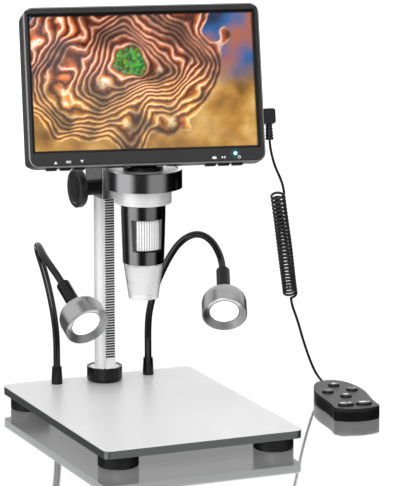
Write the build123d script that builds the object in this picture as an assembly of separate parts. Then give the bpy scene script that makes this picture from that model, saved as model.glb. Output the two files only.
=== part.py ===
from build123d import *
import math
import os

# LCD digital microscope on a rack-and-pinion stand, with two gooseneck lamps and a wired remote.
# Millimetres, +Z up, -Y is the user's side. The design frame has the base plate's centre at X = Y = 0
# and the table at Z = 0. At the end everything is moved so that the origin is the middle of the floor
# area that the whole set covers.

# ---------------------------------------------------------------- driving sizes: base and feet
BASE_W = 144.0              # stage plate, left to right
BASE_D = 198.0              # stage plate, front to back
BASE_T = 6.0
BASE_CORNER_R = 5.5
BASE_EDGE_CHAMFER = 0.6
FOOT_R = 13.75
FOOT_H = 9.0
FOOT_INSET = 15.5           # foot centre to plate edge
FOOT_CHAMFER = 0.8
FOOT_SCREW_R = 1.95
FOOT_SCREW_HEAD_R = 3.6
FOOT_SCREW_HEAD_H = 2.4
FOOT_SCREW_BITE = 5.0       # thread length in the plate
FOOT_COUNTERBORE_H = 4.5    # recess for the screw head, from the floor side

# ---------------------------------------------------------------- driving sizes: column and rack
COLUMN_R = 7.0
COLUMN_H = 215.0            # above the plate
COLUMN_TO_BACK_EDGE = 16.0
COLUMN_SLOT_FLOOR = 4.0     # column axis to the floor of the rack slot
COLUMN_TOP_CHAMFER = 0.8
FLANGE_R = 11.0             # bright foot of the column
FLANGE_RECESS = 0.5         # below the black collar's rim
COLLAR_R = 12.6
COLLAR_H = 10.7
COLLAR_ROUND = 2.0
COLUMN_BOLT_R = 2.95
COLUMN_BOLT_LENGTH = 18.0
COLUMN_BOLT_HEAD_R = 5.4
COLUMN_BOLT_HEAD_H = 3.0
RACK_W = 7.0
RACK_FACE = 12.5            # column axis to the tips of the rack teeth
RACK_FOOT_GAP = 0.3         # above the collar
RACK_TOP_GAP = 2.0          # below the top of the column
RACK_TEETH_START = 20.0     # plain stretch above the plate
GEAR_MODULE = 0.6
PINION_TEETH = 16
PINION_W = 8.0
PRESSURE_ANGLE = 20.0
BACKLASH = 0.16             # taken off each tooth's thickness

# ---------------------------------------------------------------- driving sizes: carriage and knobs
CARRIAGE_W = 20.5
CARRIAGE_FRONT = 23.8       # column axis to the front face
CARRIAGE_BACK = 9.5         # column axis to the rear face
CARRIAGE_H = 34.0
CARRIAGE_BOTTOM_Z = 151.0
CARRIAGE_ROUND = 1.2
PINION_ABOVE_BOTTOM = 8.05  # pinion axis above the carriage's lower face
BEARING_R = 5.75
BEARING_LENGTH = 17.4
BEARING_INNER_X = 5.0
SHAFT_R = 2.5
KNOB_R = 13.7
KNOB_BACK_R = 12.6
KNOB_FACE_X = 28.9          # outer face of the left knob
KNOB_DISH_R = 10.8
KNOB_DISH_DEPTH = 1.4
KNOB_BACK_TAPER = 1.6
KNOB_EDGE = 1.0
KNOB_HUB_GAP = 0.4          # knob to bearing sleeve
FRICTION_SCREW_R = 1.5
FRICTION_SCREW_ABOVE_BOTTOM = 20.0
FRICTION_SCREW_SINK = 0.4   # below the carriage's side face

# ---------------------------------------------------------------- driving sizes: ring holder and head
RING_TO_COLUMN = 74.0       # optical axis in front of the column axis
RING_R = 27.0
RING_BOTTOM_Z = 168.0
RING_H = 13.0
RING_LIP_H = 3.0
RING_RECESS = 0.6           # head flange below the ring's rim
ARM_W = 10.0
ARM_FLANGE_W = 19.5
ARM_FLANGE_T = 3.0
ARM_SCREW_X = 7.4
ARM_SCREW_R = 1.2
ARM_SCREW_HEAD_R = 2.2
ARM_SCREW_HEAD_H = 2.0
ARM_SCREW_BITE = 6.0
HEAD_TURN = -13.7           # the head is turned towards the left-hand side, degrees
FLANGE_HEAD_R = 23.7        # bright flange that turns in the ring
HEAD_COLLAR_R = 19.6
HEAD_COLLAR_BOTTOM_Z = 157.1
HEAD_COLLAR_CHAMFER = 0.5
HEAD_BORE_R = 11.0
NECK_R = 13.8
NECK_TOP_Z = 183.1
NECK_SPIGOT_L = 8.0
BARREL_R = 15.4
BARREL_END_R = 14.3
BARREL_TAPER_TOP_Z = 150.0
BARREL_BOTTOM_Z = 115.5
BARREL_SPIGOT_L = 9.0
BARREL_WALL = 2.1
BARREL_WIRE_R = 6.0
WINDOW_BOTTOM_Z = 124.7
WINDOW_TOP_Z = 147.1
WINDOW_FROM = -143.4        # window edges seen from above, degrees from +X
WINDOW_TO = -57.2
WINDOW_SLOPE = 9.3          # the left edge slopes in for the thumb, degrees
FOCUS_RING_R = 12.9
FOCUS_RING_BORE_R = 9.7
FOCUS_RING_END_GAP = 0.6
LENS_CELL_R = 9.4
LENS_CELL_BORE_R = 7.0
LENS_CELL_BOTTOM_Z = 118.5
LENS_CELL_TOP_Z = 146.0
LENS_THICK = 3.5
SENSOR_BOARD_T = 1.6
LED_BOARD_R = 12.3
LED_BOARD_HOLE_R = 7.5
LED_BOARD_T = 1.6
LED_COUNT = 8
LED_SIZE = 2.4
LED_H = 0.9
GUARD_TOP_R = 13.8
GUARD_MOUTH_R = 10.2
GUARD_WALL = 1.2
GUARD_H = 25.0

# ---------------------------------------------------------------- driving sizes: screen
PIN_Z = 187.9               # tilt hinge axis
SCREEN_TILT = 16.7          # leaning back from upright, degrees
PICTURE_W = 152.4
PICTURE_H = 91.4
PIN_ABOVE_EDGE = 7.4        # hinge pin above the screen's lower edge, along the screen
SCREEN_FACE = 23.8          # hinge pin to the front face
BORDER_SIDE = 5.0
BORDER_TOP = 6.5
BORDER_BOTTOM = 11.7
SCREEN_CORNER_R = 7.0
BEZEL_T = 12.8              # front frame, front to parting line
SCREEN_BACK = 4.0           # hinge pin to the rear face
SCREEN_FRONT_ROUND = 1.8
SCREEN_REAR_ROUND = 3.5
SCREEN_WALL = 2.0
REAR_UNDERCUT = 5.4         # the rear cover's underside rises this much towards the back
LIP_T = 1.8
LIP_BEVEL = 1.6
PICTURE_MARGIN = 0.4        # black edge of the glass seen round the picture
GLASS_T = 1.0
GLASS_OVERLAP = 1.6         # glass behind the lip, each side
LCD_T = 4.0
PIN_R = 1.5
PIN_LENGTH = 30.0
KNUCKLE_W = 17.6
KNUCKLE_R = 4.6
NOTCH_W = 18.4
EAR_BLOCK_W = 34.0
EAR_BLOCK_TOP = 9.0
POCKET_W = 29.4             # clears the neck below the hinge
POCKET_ROOF = -2.9
POCKET_FRONT_GAP = 2.6      # neck to the pocket's front wall
CASE_SCREW_INSET = 5.8      # screw to the screen's side edge
CASE_SCREW_ABOVE_EDGE = 16.4
CASE_SCREW_BELOW_TOP = 12.2
CASE_SCREW_R = 1.2
CASE_SCREW_HEAD_R = 2.2
CASE_SCREW_HEAD_H = 1.6
CASE_SCREW_SINK = 1.2       # head below the rear face
CASE_SCREW_END_GAP = 1.5    # screw's end to the panel
CASE_POST_R = 3.3
MAIN_BOARD_W = 118.0
MAIN_BOARD_H = 62.0
MAIN_BOARD_T = 1.6
MAIN_BOARD_STANDOFF = 3.6
MAIN_BOARD_ABOVE_MIDDLE = 4.0
MAIN_BOARD_POST_R = 2.5
MAIN_BOARD_POST_INSET = 5.0
POWER_LIGHT_R = 1.3
POWER_LIGHT_PROUD = 0.2
POWER_LIGHT_INSET = 21.2    # to the screen's side edge
POWER_LIGHT_ABOVE_EDGE = 6.2
KEY_SIDES = (-1, -1, -1, 1, 1, 1)
KEY_INSETS = (15.7, 25.2, 34.7, 37.7, 28.5, 19.2)     # key's middle to the screen's side edge
KEY_NAMES = ("up_key", "menu_key", "down_key", "photo_key", "mode_key", "power_key")
KEY_W = 7.2
KEY_D = 4.4
KEY_FRONT = 4.6             # screen face to key
KEY_PROUD = 1.5
KEY_FLANGE = 0.6
KEY_FLANGE_T = 0.9
KEY_GAP = 0.3

# ---------------------------------------------------------------- driving sizes: remote lead
PLUG_ABOVE_EDGE = 31.8      # plug axis above the screen's lower edge
PLUG_BACK = 14.3            # plug axis in front of the hinge pin
PLUG_H = 10.4
PLUG_DEPTH = 8.0
PLUG_REACH = 8.7
PLUG_SEAT_GAP = 0.3
PLUG_TIP_R = 1.25
PLUG_TIP_L = 11.0
RELIEF_TOP_R = 2.4
RELIEF_END_R = 2.8
RELIEF_L = 10.8
RELIEF_RIBS = 5
LEAD_D = 1.8
COIL_D = 11.0
LEAD_EXIT_RUN = 4.0         # straight run out of the plug
LEAD_COIL_RUN = 6.2         # straight runs into and out of the coil
LEAD_REMOTE_RUN = 7.0       # straight run into the remote
# The lead's bends between its straight ends, from the plug down to the coil and on to the remote.
UPPER_BENDS = [(82.9, -22.4, 187.0), (86.5, -19.8, 179.6), (91.5, -15.8, 172.3)]
LEAD_COIL = [(93.4, -8.0, 159.0), (105.9, 8.5, 122.0), (118.7, 25.0, 79.2)]
COIL_TOP_SIDE = (0.92, -0.40, 0.0)      # the wire meets the coil's rim on this side
COIL_END_SIDE = (-0.39, -0.90, 0.20)
LOWER_BENDS = [
    (124.9, 29.2, 62.6), (130.6, 35.9, 53.4), (137.8, 43.0, 38.5), (145.8, 48.0, 21.7), (151.9, 51.0, 11.2),
]

# ---------------------------------------------------------------- driving sizes: lamps
SOCKET_X = 35.0
SOCKET_TO_BACK_EDGE = 12.5
SOCKET_R = 3.95
SOCKET_TOP_R = 3.4
SOCKET_H = 12.5
SOCKET_STRAIGHT = 2.0
SOCKET_STUD_R = 2.5
SOCKET_BORE_DEPTH = 6.0
NECK_TUBE_D = 5.0
LAMP_R = 15.9
LAMP_DRUM_L = 9.0
LAMP_DOME_L = 9.0
LAMP_RIM_L = 1.9            # hood in front of the lens face
LAMP_RIM_T = 0.8
LAMP_CROWN_LEDGE = 1.5      # flat rim of the dome round the collar
LAMP_SEAT_R = 10.8          # level seat round the lens, inside the hood
LAMP_WALL = 1.6
LAMP_LENS_R = 10.0
LAMP_LENS_T = 2.0
LAMP_LENS_SINK = 1.2
LAMP_COLLAR_R = 4.8
LAMP_COLLAR_L = 24.0
LAMP_LENGTH = 42.6          # lens face to the neck's end of the collar
NECK_SEAT = 5.0             # the neck's end inside the collar
NECK_RUN = 6.0              # straight run of the neck outside the collar
NECK_UPRIGHT = 8.0          # straight run of the neck above its socket
LEFT_LENS = (-40.3, 14.0, 73.5)
LEFT_AIM = (0.082, -0.855, -0.512)
LEFT_NECK = [
    (-34.9, 87.0, 48.0), (-35.6, 88.8, 62.0), (-36.7, 92.4, 75.0), (-37.6, 97.0, 86.0),
    (-38.6, 101.6, 95.4), (-40.4, 104.4, 103.4), (-42.5, 103.0, 109.6), (-44.6, 98.2, 113.6),
    (-46.3, 91.4, 115.2), (-47.7, 83.6, 114.2), (-48.4, 75.2, 111.0), (-47.2, 65.6, 105.8),
]
RIGHT_LENS = (65.7, 20.0, 71.3)
RIGHT_AIM = (-0.313, -0.783, -0.538)
RIGHT_NECK = [
    (35.1, 87.0, 47.0), (36.1, 87.7, 59.0), (39.2, 88.5, 70.6), (43.4, 89.0, 81.4), (48.4, 89.0, 91.4),
    (53.8, 88.5, 101.1), (59.6, 87.0, 109.2), (66.0, 83.8, 114.6), (72.4, 79.4, 116.2), (77.4, 73.4, 113.4),
    (80.4, 66.2, 107.0),
]

# ---------------------------------------------------------------- driving sizes: remote
REMOTE_CENTRE = (147.6, -3.0)
REMOTE_HEADING = -9.8       # long axis, degrees from +Y
REMOTE_L = 84.8
REMOTE_H = 9.7
REMOTE_TOP_T = 2.6
REMOTE_WALL = 1.4
REMOTE_END_HALF = 16.6
REMOTE_WAIST_HALF = 16.1
REMOTE_WIDE_HALF = 17.5
REMOTE_SHOULDER_HALF = 14.7
REMOTE_CORNER_R = 4.0
REMOTE_END_BULGE = 6.6      # the near end's middle in front of its corners
REMOTE_POST_R = 2.2
REMOTE_POST_YS = (-24.0, 0.0, 22.0)
REMOTE_BOARD_Z = 2.6
REMOTE_BOARD_T = 1.2
REMOTE_BOARD_INSET = 3.0
REMOTE_LIP = 1.2
REMOTE_LIP_T = 0.9
RB_NAMES = ("remote_up", "remote_left", "remote_right", "remote_down", "remote_camera", "remote_record")
# Each button's place along and across the remote, from its middle.
RB_PLACES = ((24.8, -0.2), (7.2, -9.4), (9.4, 9.0), (-7.3, -0.2), (-31.2, -6.9), (-31.0, 6.1))
RB_LENGTHS = (8.0, 8.0, 8.0, 8.0, 11.4, 11.4)   # across the remote
RB_W = 8.0                  # along the remote
RB_PROUD = 1.9
RB_DOME = 0.9
RB_FLANGE = 0.5
RB_FLANGE_T = 0.8
RB_GAP = 0.3
RB_STEM_R = 1.5
RB_TRAVEL = 0.8
RB_STOP_GAP = 0.1           # stem to board at full travel

# ---------------------------------------------------------------- named clearances
SEAT = 0.02                 # a piece seated in its bore
RUN = 0.05                  # a shaft that turns in its bearing
SLIDE = 0.06                # the carriage on the column
CLEAR = 0.3                 # faces that pass each other
LIP_FIT = 0.1               # a lid's lip inside its shell
PLUG_TIP_FIT = 0.1          # the plug's tip in its bore
OVERRUN = 1.0               # cutters run past the face
UNDER = 9.0                 # depth of the cutters under the screen

# ---------------------------------------------------------------- places that follow from the sizes
PLATE_TOP = FOOT_H + BASE_T
COLUMN_Y = BASE_D / 2 - COLUMN_TO_BACK_EDGE
COLUMN_TOP = PLATE_TOP + COLUMN_H
COLLAR_TOP = PLATE_TOP + COLLAR_H
RING_Y = COLUMN_Y - RING_TO_COLUMN
PITCH = math.pi * GEAR_MODULE
PINION_R = GEAR_MODULE * PINION_TEETH / 2
PINION_Y = COLUMN_Y - RACK_FACE + GEAR_MODULE - PINION_R
PINION_Z = CARRIAGE_BOTTOM_Z + PINION_ABOVE_BOTTOM
CARRIAGE_FACE_Y = COLUMN_Y - CARRIAGE_FRONT
RING_TOP_Z = RING_BOTTOM_Z + RING_H
LIP_TOP_Z = RING_BOTTOM_Z + RING_LIP_H
FLANGE_TOP_Z = RING_TOP_Z - RING_RECESS
PICTURE_TO_PIN = PICTURE_H / 2 + BORDER_BOTTOM - PIN_ABOVE_EDGE
SCREEN_HALF_W = PICTURE_W / 2 + BORDER_SIDE
SCREEN_LOW = PICTURE_TO_PIN - PICTURE_H / 2 - BORDER_BOTTOM
SCREEN_HIGH = PICTURE_TO_PIN + PICTURE_H / 2 + BORDER_TOP
SCREEN_MID = (SCREEN_LOW + SCREEN_HIGH) / 2
SCREEN_TALL = SCREEN_HIGH - SCREEN_LOW
PARTING = BEZEL_T - SCREEN_FACE           # parting line, measured back from the hinge pin
LIP_BACK = LIP_T - SCREEN_FACE
PICTURE_HOLE_W = PICTURE_W + 2 * PICTURE_MARGIN
PICTURE_HOLE_H = PICTURE_H + 2 * PICTURE_MARGIN
CASE_SCREW_X = SCREEN_HALF_W - CASE_SCREW_INSET
CASE_SCREW_LOW = SCREEN_LOW + CASE_SCREW_ABOVE_EDGE
CASE_SCREW_HIGH = SCREEN_HIGH - CASE_SCREW_BELOW_TOP
POWER_LIGHT_X = SCREEN_HALF_W - POWER_LIGHT_INSET
POWER_LIGHT_Z = SCREEN_LOW + POWER_LIGHT_ABOVE_EDGE
KEY_XS = tuple(side * (SCREEN_HALF_W - inset) for side, inset in zip(KEY_SIDES, KEY_INSETS))
PLUG_Z = SCREEN_LOW + PLUG_ABOVE_EDGE

HEAD_FRAME = Pos(0, RING_Y, 0) * Rot(0, 0, HEAD_TURN)
SCREEN_FRAME = Pos(0, RING_Y, PIN_Z) * Rot(0, 0, HEAD_TURN) * Rot(-SCREEN_TILT, 0, 0)
REMOTE_FRAME = Pos(*REMOTE_CENTRE, 0) * Rot(0, 0, REMOTE_HEADING)

parts = {}


def block(x0, x1, y0, y1, z0, z1):
    return Pos((x0 + x1) / 2, (y0 + y1) / 2, (z0 + z1) / 2) * Box(x1 - x0, y1 - y0, z1 - z0)


def post(radius, z0, z1, x=0.0, y=0.0):
    return Pos(x, y, (z0 + z1) / 2) * Cylinder(radius, z1 - z0)


def post_x(radius, x0, x1, y=0.0, z=0.0):
    return Pos((x0 + x1) / 2, y, z) * Rot(0, 90, 0) * Cylinder(radius, x1 - x0)


def post_y(radius, y0, y1, x=0.0, z=0.0):
    return Pos(x, (y0 + y1) / 2, z) * Rot(90, 0, 0) * Cylinder(radius, y1 - y0)


def turned(profile):
    """Solid of revolution about Z from (radius, height) points."""
    face = Plane.XZ * make_face(Polyline(*profile, close=True))
    return revolve(face, Axis.Z)


def group(pieces):
    """Several solids as one node."""
    return Compound([solid for piece in pieces for solid in piece.solids()])


def rounded_slab(width, depth, thick, corner):
    return extrude(RectangleRounded(width, depth, corner), thick)


def across(side, direction):
    """The unit vector nearest to side that is square to direction."""
    side = Vector(*side)
    return (side - direction * side.dot(direction)).normalized()


def tube(name, points, diameter):
    """A round tube along straight runs that are joined by arcs as large as the runs allow."""
    corners = [Vector(*p) for p in points]
    runs = [(b - a).length for a, b in zip(corners, corners[1:])]
    radii = []
    for i in range(1, len(corners) - 1):
        turn = (corners[i] - corners[i - 1]).get_angle(corners[i + 1] - corners[i])
        radii.append(0.45 * min(runs[i - 1], runs[i]) / math.tan(math.radians(turn / 2)))
    path = FilletPolyline(*corners, radius=radii)
    solid = sweep(Plane(path @ 0, z_dir=path % 0) * Circle(diameter / 2), path=path)
    drawn = math.pi * diameter**2 / 4 * path.length
    print(f"{name}: length {path.length:.1f}, radii {[round(r, 1) for r in radii]}, "
          f"volume / (section x length) {solid.volume / drawn:.4f}")
    return solid


# ---------------------------------------------------------------- base
FOOT_X = BASE_W / 2 - FOOT_INSET
FOOT_Y = BASE_D / 2 - FOOT_INSET
FOOT_XY = [(sx * FOOT_X, sy * FOOT_Y) for sx in (-1, 1) for sy in (-1, 1)]
SOCKET_Y = BASE_D / 2 - SOCKET_TO_BACK_EDGE


def make_base():
    plate = Pos(0, 0, FOOT_H) * rounded_slab(BASE_W, BASE_D, BASE_T, BASE_CORNER_R)
    plate = chamfer(plate.faces().sort_by(Axis.Z)[-1].edges(), BASE_EDGE_CHAMFER)
    for x, y in FOOT_XY:
        plate -= post(FOOT_SCREW_R + SEAT, FOOT_H - OVERRUN, FOOT_H + FOOT_SCREW_BITE, x, y)
    plate -= post(COLUMN_BOLT_R + SEAT, FOOT_H - OVERRUN, PLATE_TOP + OVERRUN, 0, COLUMN_Y)
    plate -= post(COLUMN_BOLT_HEAD_R + CLEAR, FOOT_H - OVERRUN, FOOT_H + COLUMN_BOLT_HEAD_H, 0, COLUMN_Y)
    for x in (-SOCKET_X, SOCKET_X):
        plate -= post(SOCKET_STUD_R + SEAT, FOOT_H - OVERRUN, PLATE_TOP + OVERRUN, x, SOCKET_Y)
    parts["base_plate"] = plate

    feet, screws = [], []
    for x, y in FOOT_XY:
        foot = post(FOOT_R, 0, FOOT_H, x, y)
        foot = chamfer(foot.edges().filter_by(GeomType.CIRCLE), FOOT_CHAMFER)
        foot -= post(FOOT_SCREW_HEAD_R + CLEAR, -OVERRUN, FOOT_COUNTERBORE_H, x, y)
        foot -= post(FOOT_SCREW_R + SEAT, 0, FOOT_H + OVERRUN, x, y)
        feet.append(foot)
        shank_low = FOOT_COUNTERBORE_H - FOOT_SCREW_HEAD_H / 2
        shank = post(FOOT_SCREW_R, shank_low, FOOT_H + FOOT_SCREW_BITE, x, y)
        head = post(FOOT_SCREW_HEAD_R, FOOT_COUNTERBORE_H - FOOT_SCREW_HEAD_H, FOOT_COUNTERBORE_H, x, y)
        screws.append(shank + head)
    parts["feet"] = group(feet)
    parts["foot_screws"] = group(screws)


# ---------------------------------------------------------------- column and rack
def make_column():
    bar = post(COLUMN_R, PLATE_TOP, COLUMN_TOP, 0, COLUMN_Y)
    bar = chamfer(bar.edges().filter_by(GeomType.CIRCLE).sort_by(Axis.Z)[-1], COLUMN_TOP_CHAMFER)
    rack_foot = COLLAR_TOP + RACK_FOOT_GAP
    bar -= block(-RACK_W / 2 - SEAT, RACK_W / 2 + SEAT, COLUMN_Y - RACK_FACE, COLUMN_Y - COLUMN_SLOT_FLOOR,
                 rack_foot, COLUMN_TOP + OVERRUN)
    bolt_end = PLATE_TOP + COLUMN_BOLT_LENGTH
    bar -= post(COLUMN_BOLT_R + SEAT, PLATE_TOP - OVERRUN, bolt_end + OVERRUN, 0, COLUMN_Y)
    parts["column"] = bar

    shank = post(COLUMN_BOLT_R, FOOT_H + COLUMN_BOLT_HEAD_H / 2, bolt_end, 0, COLUMN_Y)
    head = post(COLUMN_BOLT_HEAD_R, FOOT_H, FOOT_H + COLUMN_BOLT_HEAD_H, 0, COLUMN_Y)
    parts["column_bolt"] = shank + head

    flange_top = COLLAR_TOP - FLANGE_RECESS
    flange = post(FLANGE_R, PLATE_TOP, flange_top, 0, COLUMN_Y)
    flange -= post(COLUMN_R + SEAT, PLATE_TOP - OVERRUN, flange_top + OVERRUN, 0, COLUMN_Y)
    parts["column_flange"] = flange
    collar = post(COLLAR_R, PLATE_TOP, COLLAR_TOP, 0, COLUMN_Y)
    collar = fillet(collar.edges().filter_by(GeomType.CIRCLE).sort_by(Axis.Z)[0], COLLAR_ROUND)
    collar -= post(FLANGE_R + SEAT, PLATE_TOP - OVERRUN, COLLAR_TOP + OVERRUN, 0, COLUMN_Y)
    parts["column_collar"] = collar

    # The rack's side outline, tooth by tooth: y is depth in front of the column axis, z is height.
    tip, pitch_line = RACK_FACE, RACK_FACE - GEAR_MODULE
    root = pitch_line - 1.25 * GEAR_MODULE
    slope = math.tan(math.radians(PRESSURE_ANGLE))
    half = PITCH / 4 - BACKLASH / 2
    tip_half = half - (tip - pitch_line) * slope
    root_half = half + (pitch_line - root) * slope
    # A gap is centred on the pinion's height at rest, so the teeth are in mesh.
    first = math.ceil((PLATE_TOP + RACK_TEETH_START - PINION_Z) / PITCH - 0.5) + 0.5
    count = math.floor((COLUMN_TOP - RACK_TOP_GAP - PINION_Z) / PITCH - first - 0.5)
    outline = [(COLUMN_SLOT_FLOOR, rack_foot), (tip, rack_foot)]
    outline.append((tip, PINION_Z + (first - 0.5) * PITCH - (PITCH / 2 - tip_half)))
    outline.append((root, PINION_Z + (first - 0.5) * PITCH - (PITCH / 2 - root_half)))
    for i in range(count):
        z = PINION_Z + (first + i) * PITCH
        outline += [(root, z - root_half), (tip, z - tip_half), (tip, z + tip_half), (root, z + root_half)]
    outline.append((root, COLUMN_TOP - RACK_TOP_GAP))
    outline.append((COLUMN_SLOT_FLOOR, COLUMN_TOP - RACK_TOP_GAP))
    face = make_face(Polyline(*[(0, COLUMN_Y - d, z) for d, z in outline], close=True))
    parts["rack"] = extrude(face, RACK_W / 2, dir=(1, 0, 0), both=True)


# ---------------------------------------------------------------- carriage, pinion and knobs
def pinion_outline():
    """Tooth flanks follow the involute of the base circle; the tooth that points at the rack is centred."""
    base_r = PINION_R * math.cos(math.radians(PRESSURE_ANGLE))
    tip_r = PINION_R + GEAR_MODULE
    root_r = PINION_R - 1.25 * GEAR_MODULE

    def involute_angle(r):
        t = math.sqrt(max((r / base_r) ** 2 - 1, 0))
        return t - math.atan(t)

    half_at_pitch = (math.pi / 2 - BACKLASH / GEAR_MODULE) / PINION_TEETH
    steps = [root_r, base_r, (base_r + PINION_R) / 2, PINION_R, (PINION_R + tip_r) / 2, tip_r]
    points = []
    for i in range(PINION_TEETH):
        middle = 2 * math.pi * i / PINION_TEETH
        flank = []
        for r in steps:
            half = half_at_pitch + involute_angle(PINION_R) - involute_angle(r)
            flank.append((r, half))
        points += [(r, middle - half) for r, half in flank]
        points += [(r, middle + half) for r, half in reversed(flank)]
    return [(r * math.cos(a), r * math.sin(a)) for r, a in points]


def make_carriage():
    half = CARRIAGE_W / 2
    top = CARRIAGE_BOTTOM_Z + CARRIAGE_H
    body = block(-half, half, CARRIAGE_FACE_Y, COLUMN_Y + CARRIAGE_BACK, CARRIAGE_BOTTOM_Z, top)
    body = fillet(body.edges().filter_by(Axis.Z), CARRIAGE_ROUND)
    low, high = CARRIAGE_BOTTOM_Z - OVERRUN, top + OVERRUN
    body -= post(COLUMN_R + SLIDE, low, high, 0, COLUMN_Y)
    slot_half = RACK_W / 2 + CLEAR
    body -= block(-slot_half, slot_half, COLUMN_Y - RACK_FACE - CLEAR, COLUMN_Y, low, high)
    cavity_r = PINION_R + GEAR_MODULE + 0.5
    cavity_half = PINION_W / 2 + 0.6
    body -= post_x(cavity_r, -cavity_half, cavity_half, PINION_Y, PINION_Z)
    body -= post_x(BEARING_R + SEAT, -half - OVERRUN, half + OVERRUN, PINION_Y, PINION_Z)
    screw_z = CARRIAGE_BOTTOM_Z + FRICTION_SCREW_ABOVE_BOTTOM
    screw_y = COLUMN_Y - (RACK_FACE + COLUMN_SLOT_FLOOR) / 2 + 0.3
    body -= post_x(FRICTION_SCREW_R + SEAT, -half - OVERRUN, 0, screw_y, screw_z)
    arm_z = RING_BOTTOM_Z + RING_H / 2
    for x in (-ARM_SCREW_X, ARM_SCREW_X):
        bite_end = CARRIAGE_FACE_Y + ARM_SCREW_BITE
        body -= post_y(ARM_SCREW_R + SEAT, CARRIAGE_FACE_Y - OVERRUN, bite_end, x, arm_z)
    parts["carriage_block"] = body

    screw_end = -half + FRICTION_SCREW_SINK
    grub = post_x(FRICTION_SCREW_R, screw_end, -RACK_W / 2 - 0.1, screw_y, screw_z)
    hexagon = extrude(RegularPolygon(0.85, 6), 1.6)
    socket = Pos(screw_end, screw_y, screw_z) * Rot(0, 90, 0) * hexagon
    parts["friction_screw"] = grub - socket

    sleeves = []
    for side in (-1, 1):
        x0, x1 = sorted((side * BEARING_INNER_X, side * (BEARING_INNER_X + BEARING_LENGTH)))
        sleeve = post_x(BEARING_R, x0, x1, PINION_Y, PINION_Z)
        sleeves.append(sleeve - post_x(SHAFT_R + RUN, x0 - OVERRUN, x1 + OVERRUN, PINION_Y, PINION_Z))
    parts["shaft_bearings"] = group(sleeves)

    teeth = [(0, PINION_Y + u, PINION_Z + v) for u, v in pinion_outline()]
    gear_face = make_face(Polyline(*teeth, close=True))
    gear = extrude(gear_face, PINION_W / 2, dir=(1, 0, 0), both=True)
    shaft_end = KNOB_FACE_X - KNOB_DISH_DEPTH - 1.0
    parts["pinion_shaft"] = gear + post_x(SHAFT_R, -shaft_end, shaft_end, PINION_Y, PINION_Z)

    knob_inner = BEARING_INNER_X + BEARING_LENGTH + KNOB_HUB_GAP
    dish = KNOB_FACE_X - KNOB_DISH_DEPTH
    profile = [
        (0, knob_inner), (KNOB_BACK_R, knob_inner), (KNOB_R, knob_inner + KNOB_BACK_TAPER),
        (KNOB_R, KNOB_FACE_X - KNOB_EDGE), (KNOB_R - KNOB_EDGE, KNOB_FACE_X), (KNOB_DISH_R, KNOB_FACE_X),
        (KNOB_DISH_R - KNOB_DISH_DEPTH, dish), (0, dish),
    ]
    knob = turned(profile) - post(SHAFT_R + SEAT, knob_inner - OVERRUN, shaft_end)
    knobs = [Pos(0, PINION_Y, PINION_Z) * Rot(0, side * 90, 0) * knob for side in (-1, 1)]
    parts["focus_knobs"] = group(knobs)


def make_ring_holder():
    z0, z1 = RING_BOTTOM_Z, RING_TOP_Z
    arm_z = (z0 + z1) / 2
    flange_face = CARRIAGE_FACE_Y - ARM_FLANGE_T
    ring = post(RING_R, z0, z1, 0, RING_Y)
    ring += block(-ARM_W / 2, ARM_W / 2, RING_Y + RING_R * 0.8, flange_face + OVERRUN, z0, z1)
    ring += block(-ARM_FLANGE_W / 2, ARM_FLANGE_W / 2, flange_face, CARRIAGE_FACE_Y, z0, z1)
    ring -= post(HEAD_COLLAR_R + CLEAR, z0 - OVERRUN, z1 + OVERRUN, 0, RING_Y)
    ring -= post(FLANGE_HEAD_R + CLEAR, LIP_TOP_Z, z1 + OVERRUN, 0, RING_Y)
    screws = []
    for x in (-ARM_SCREW_X, ARM_SCREW_X):
        ring -= post_y(ARM_SCREW_R + SEAT, flange_face - OVERRUN, CARRIAGE_FACE_Y + OVERRUN, x, arm_z)
        shank = post_y(ARM_SCREW_R, flange_face - 1.0, CARRIAGE_FACE_Y + ARM_SCREW_BITE, x, arm_z)
        head = post_y(ARM_SCREW_HEAD_R, flange_face - ARM_SCREW_HEAD_H, flange_face, x, arm_z)
        screws.append(shank + head)
    parts["ring_holder"] = ring
    parts["arm_screws"] = group(screws)


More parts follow.
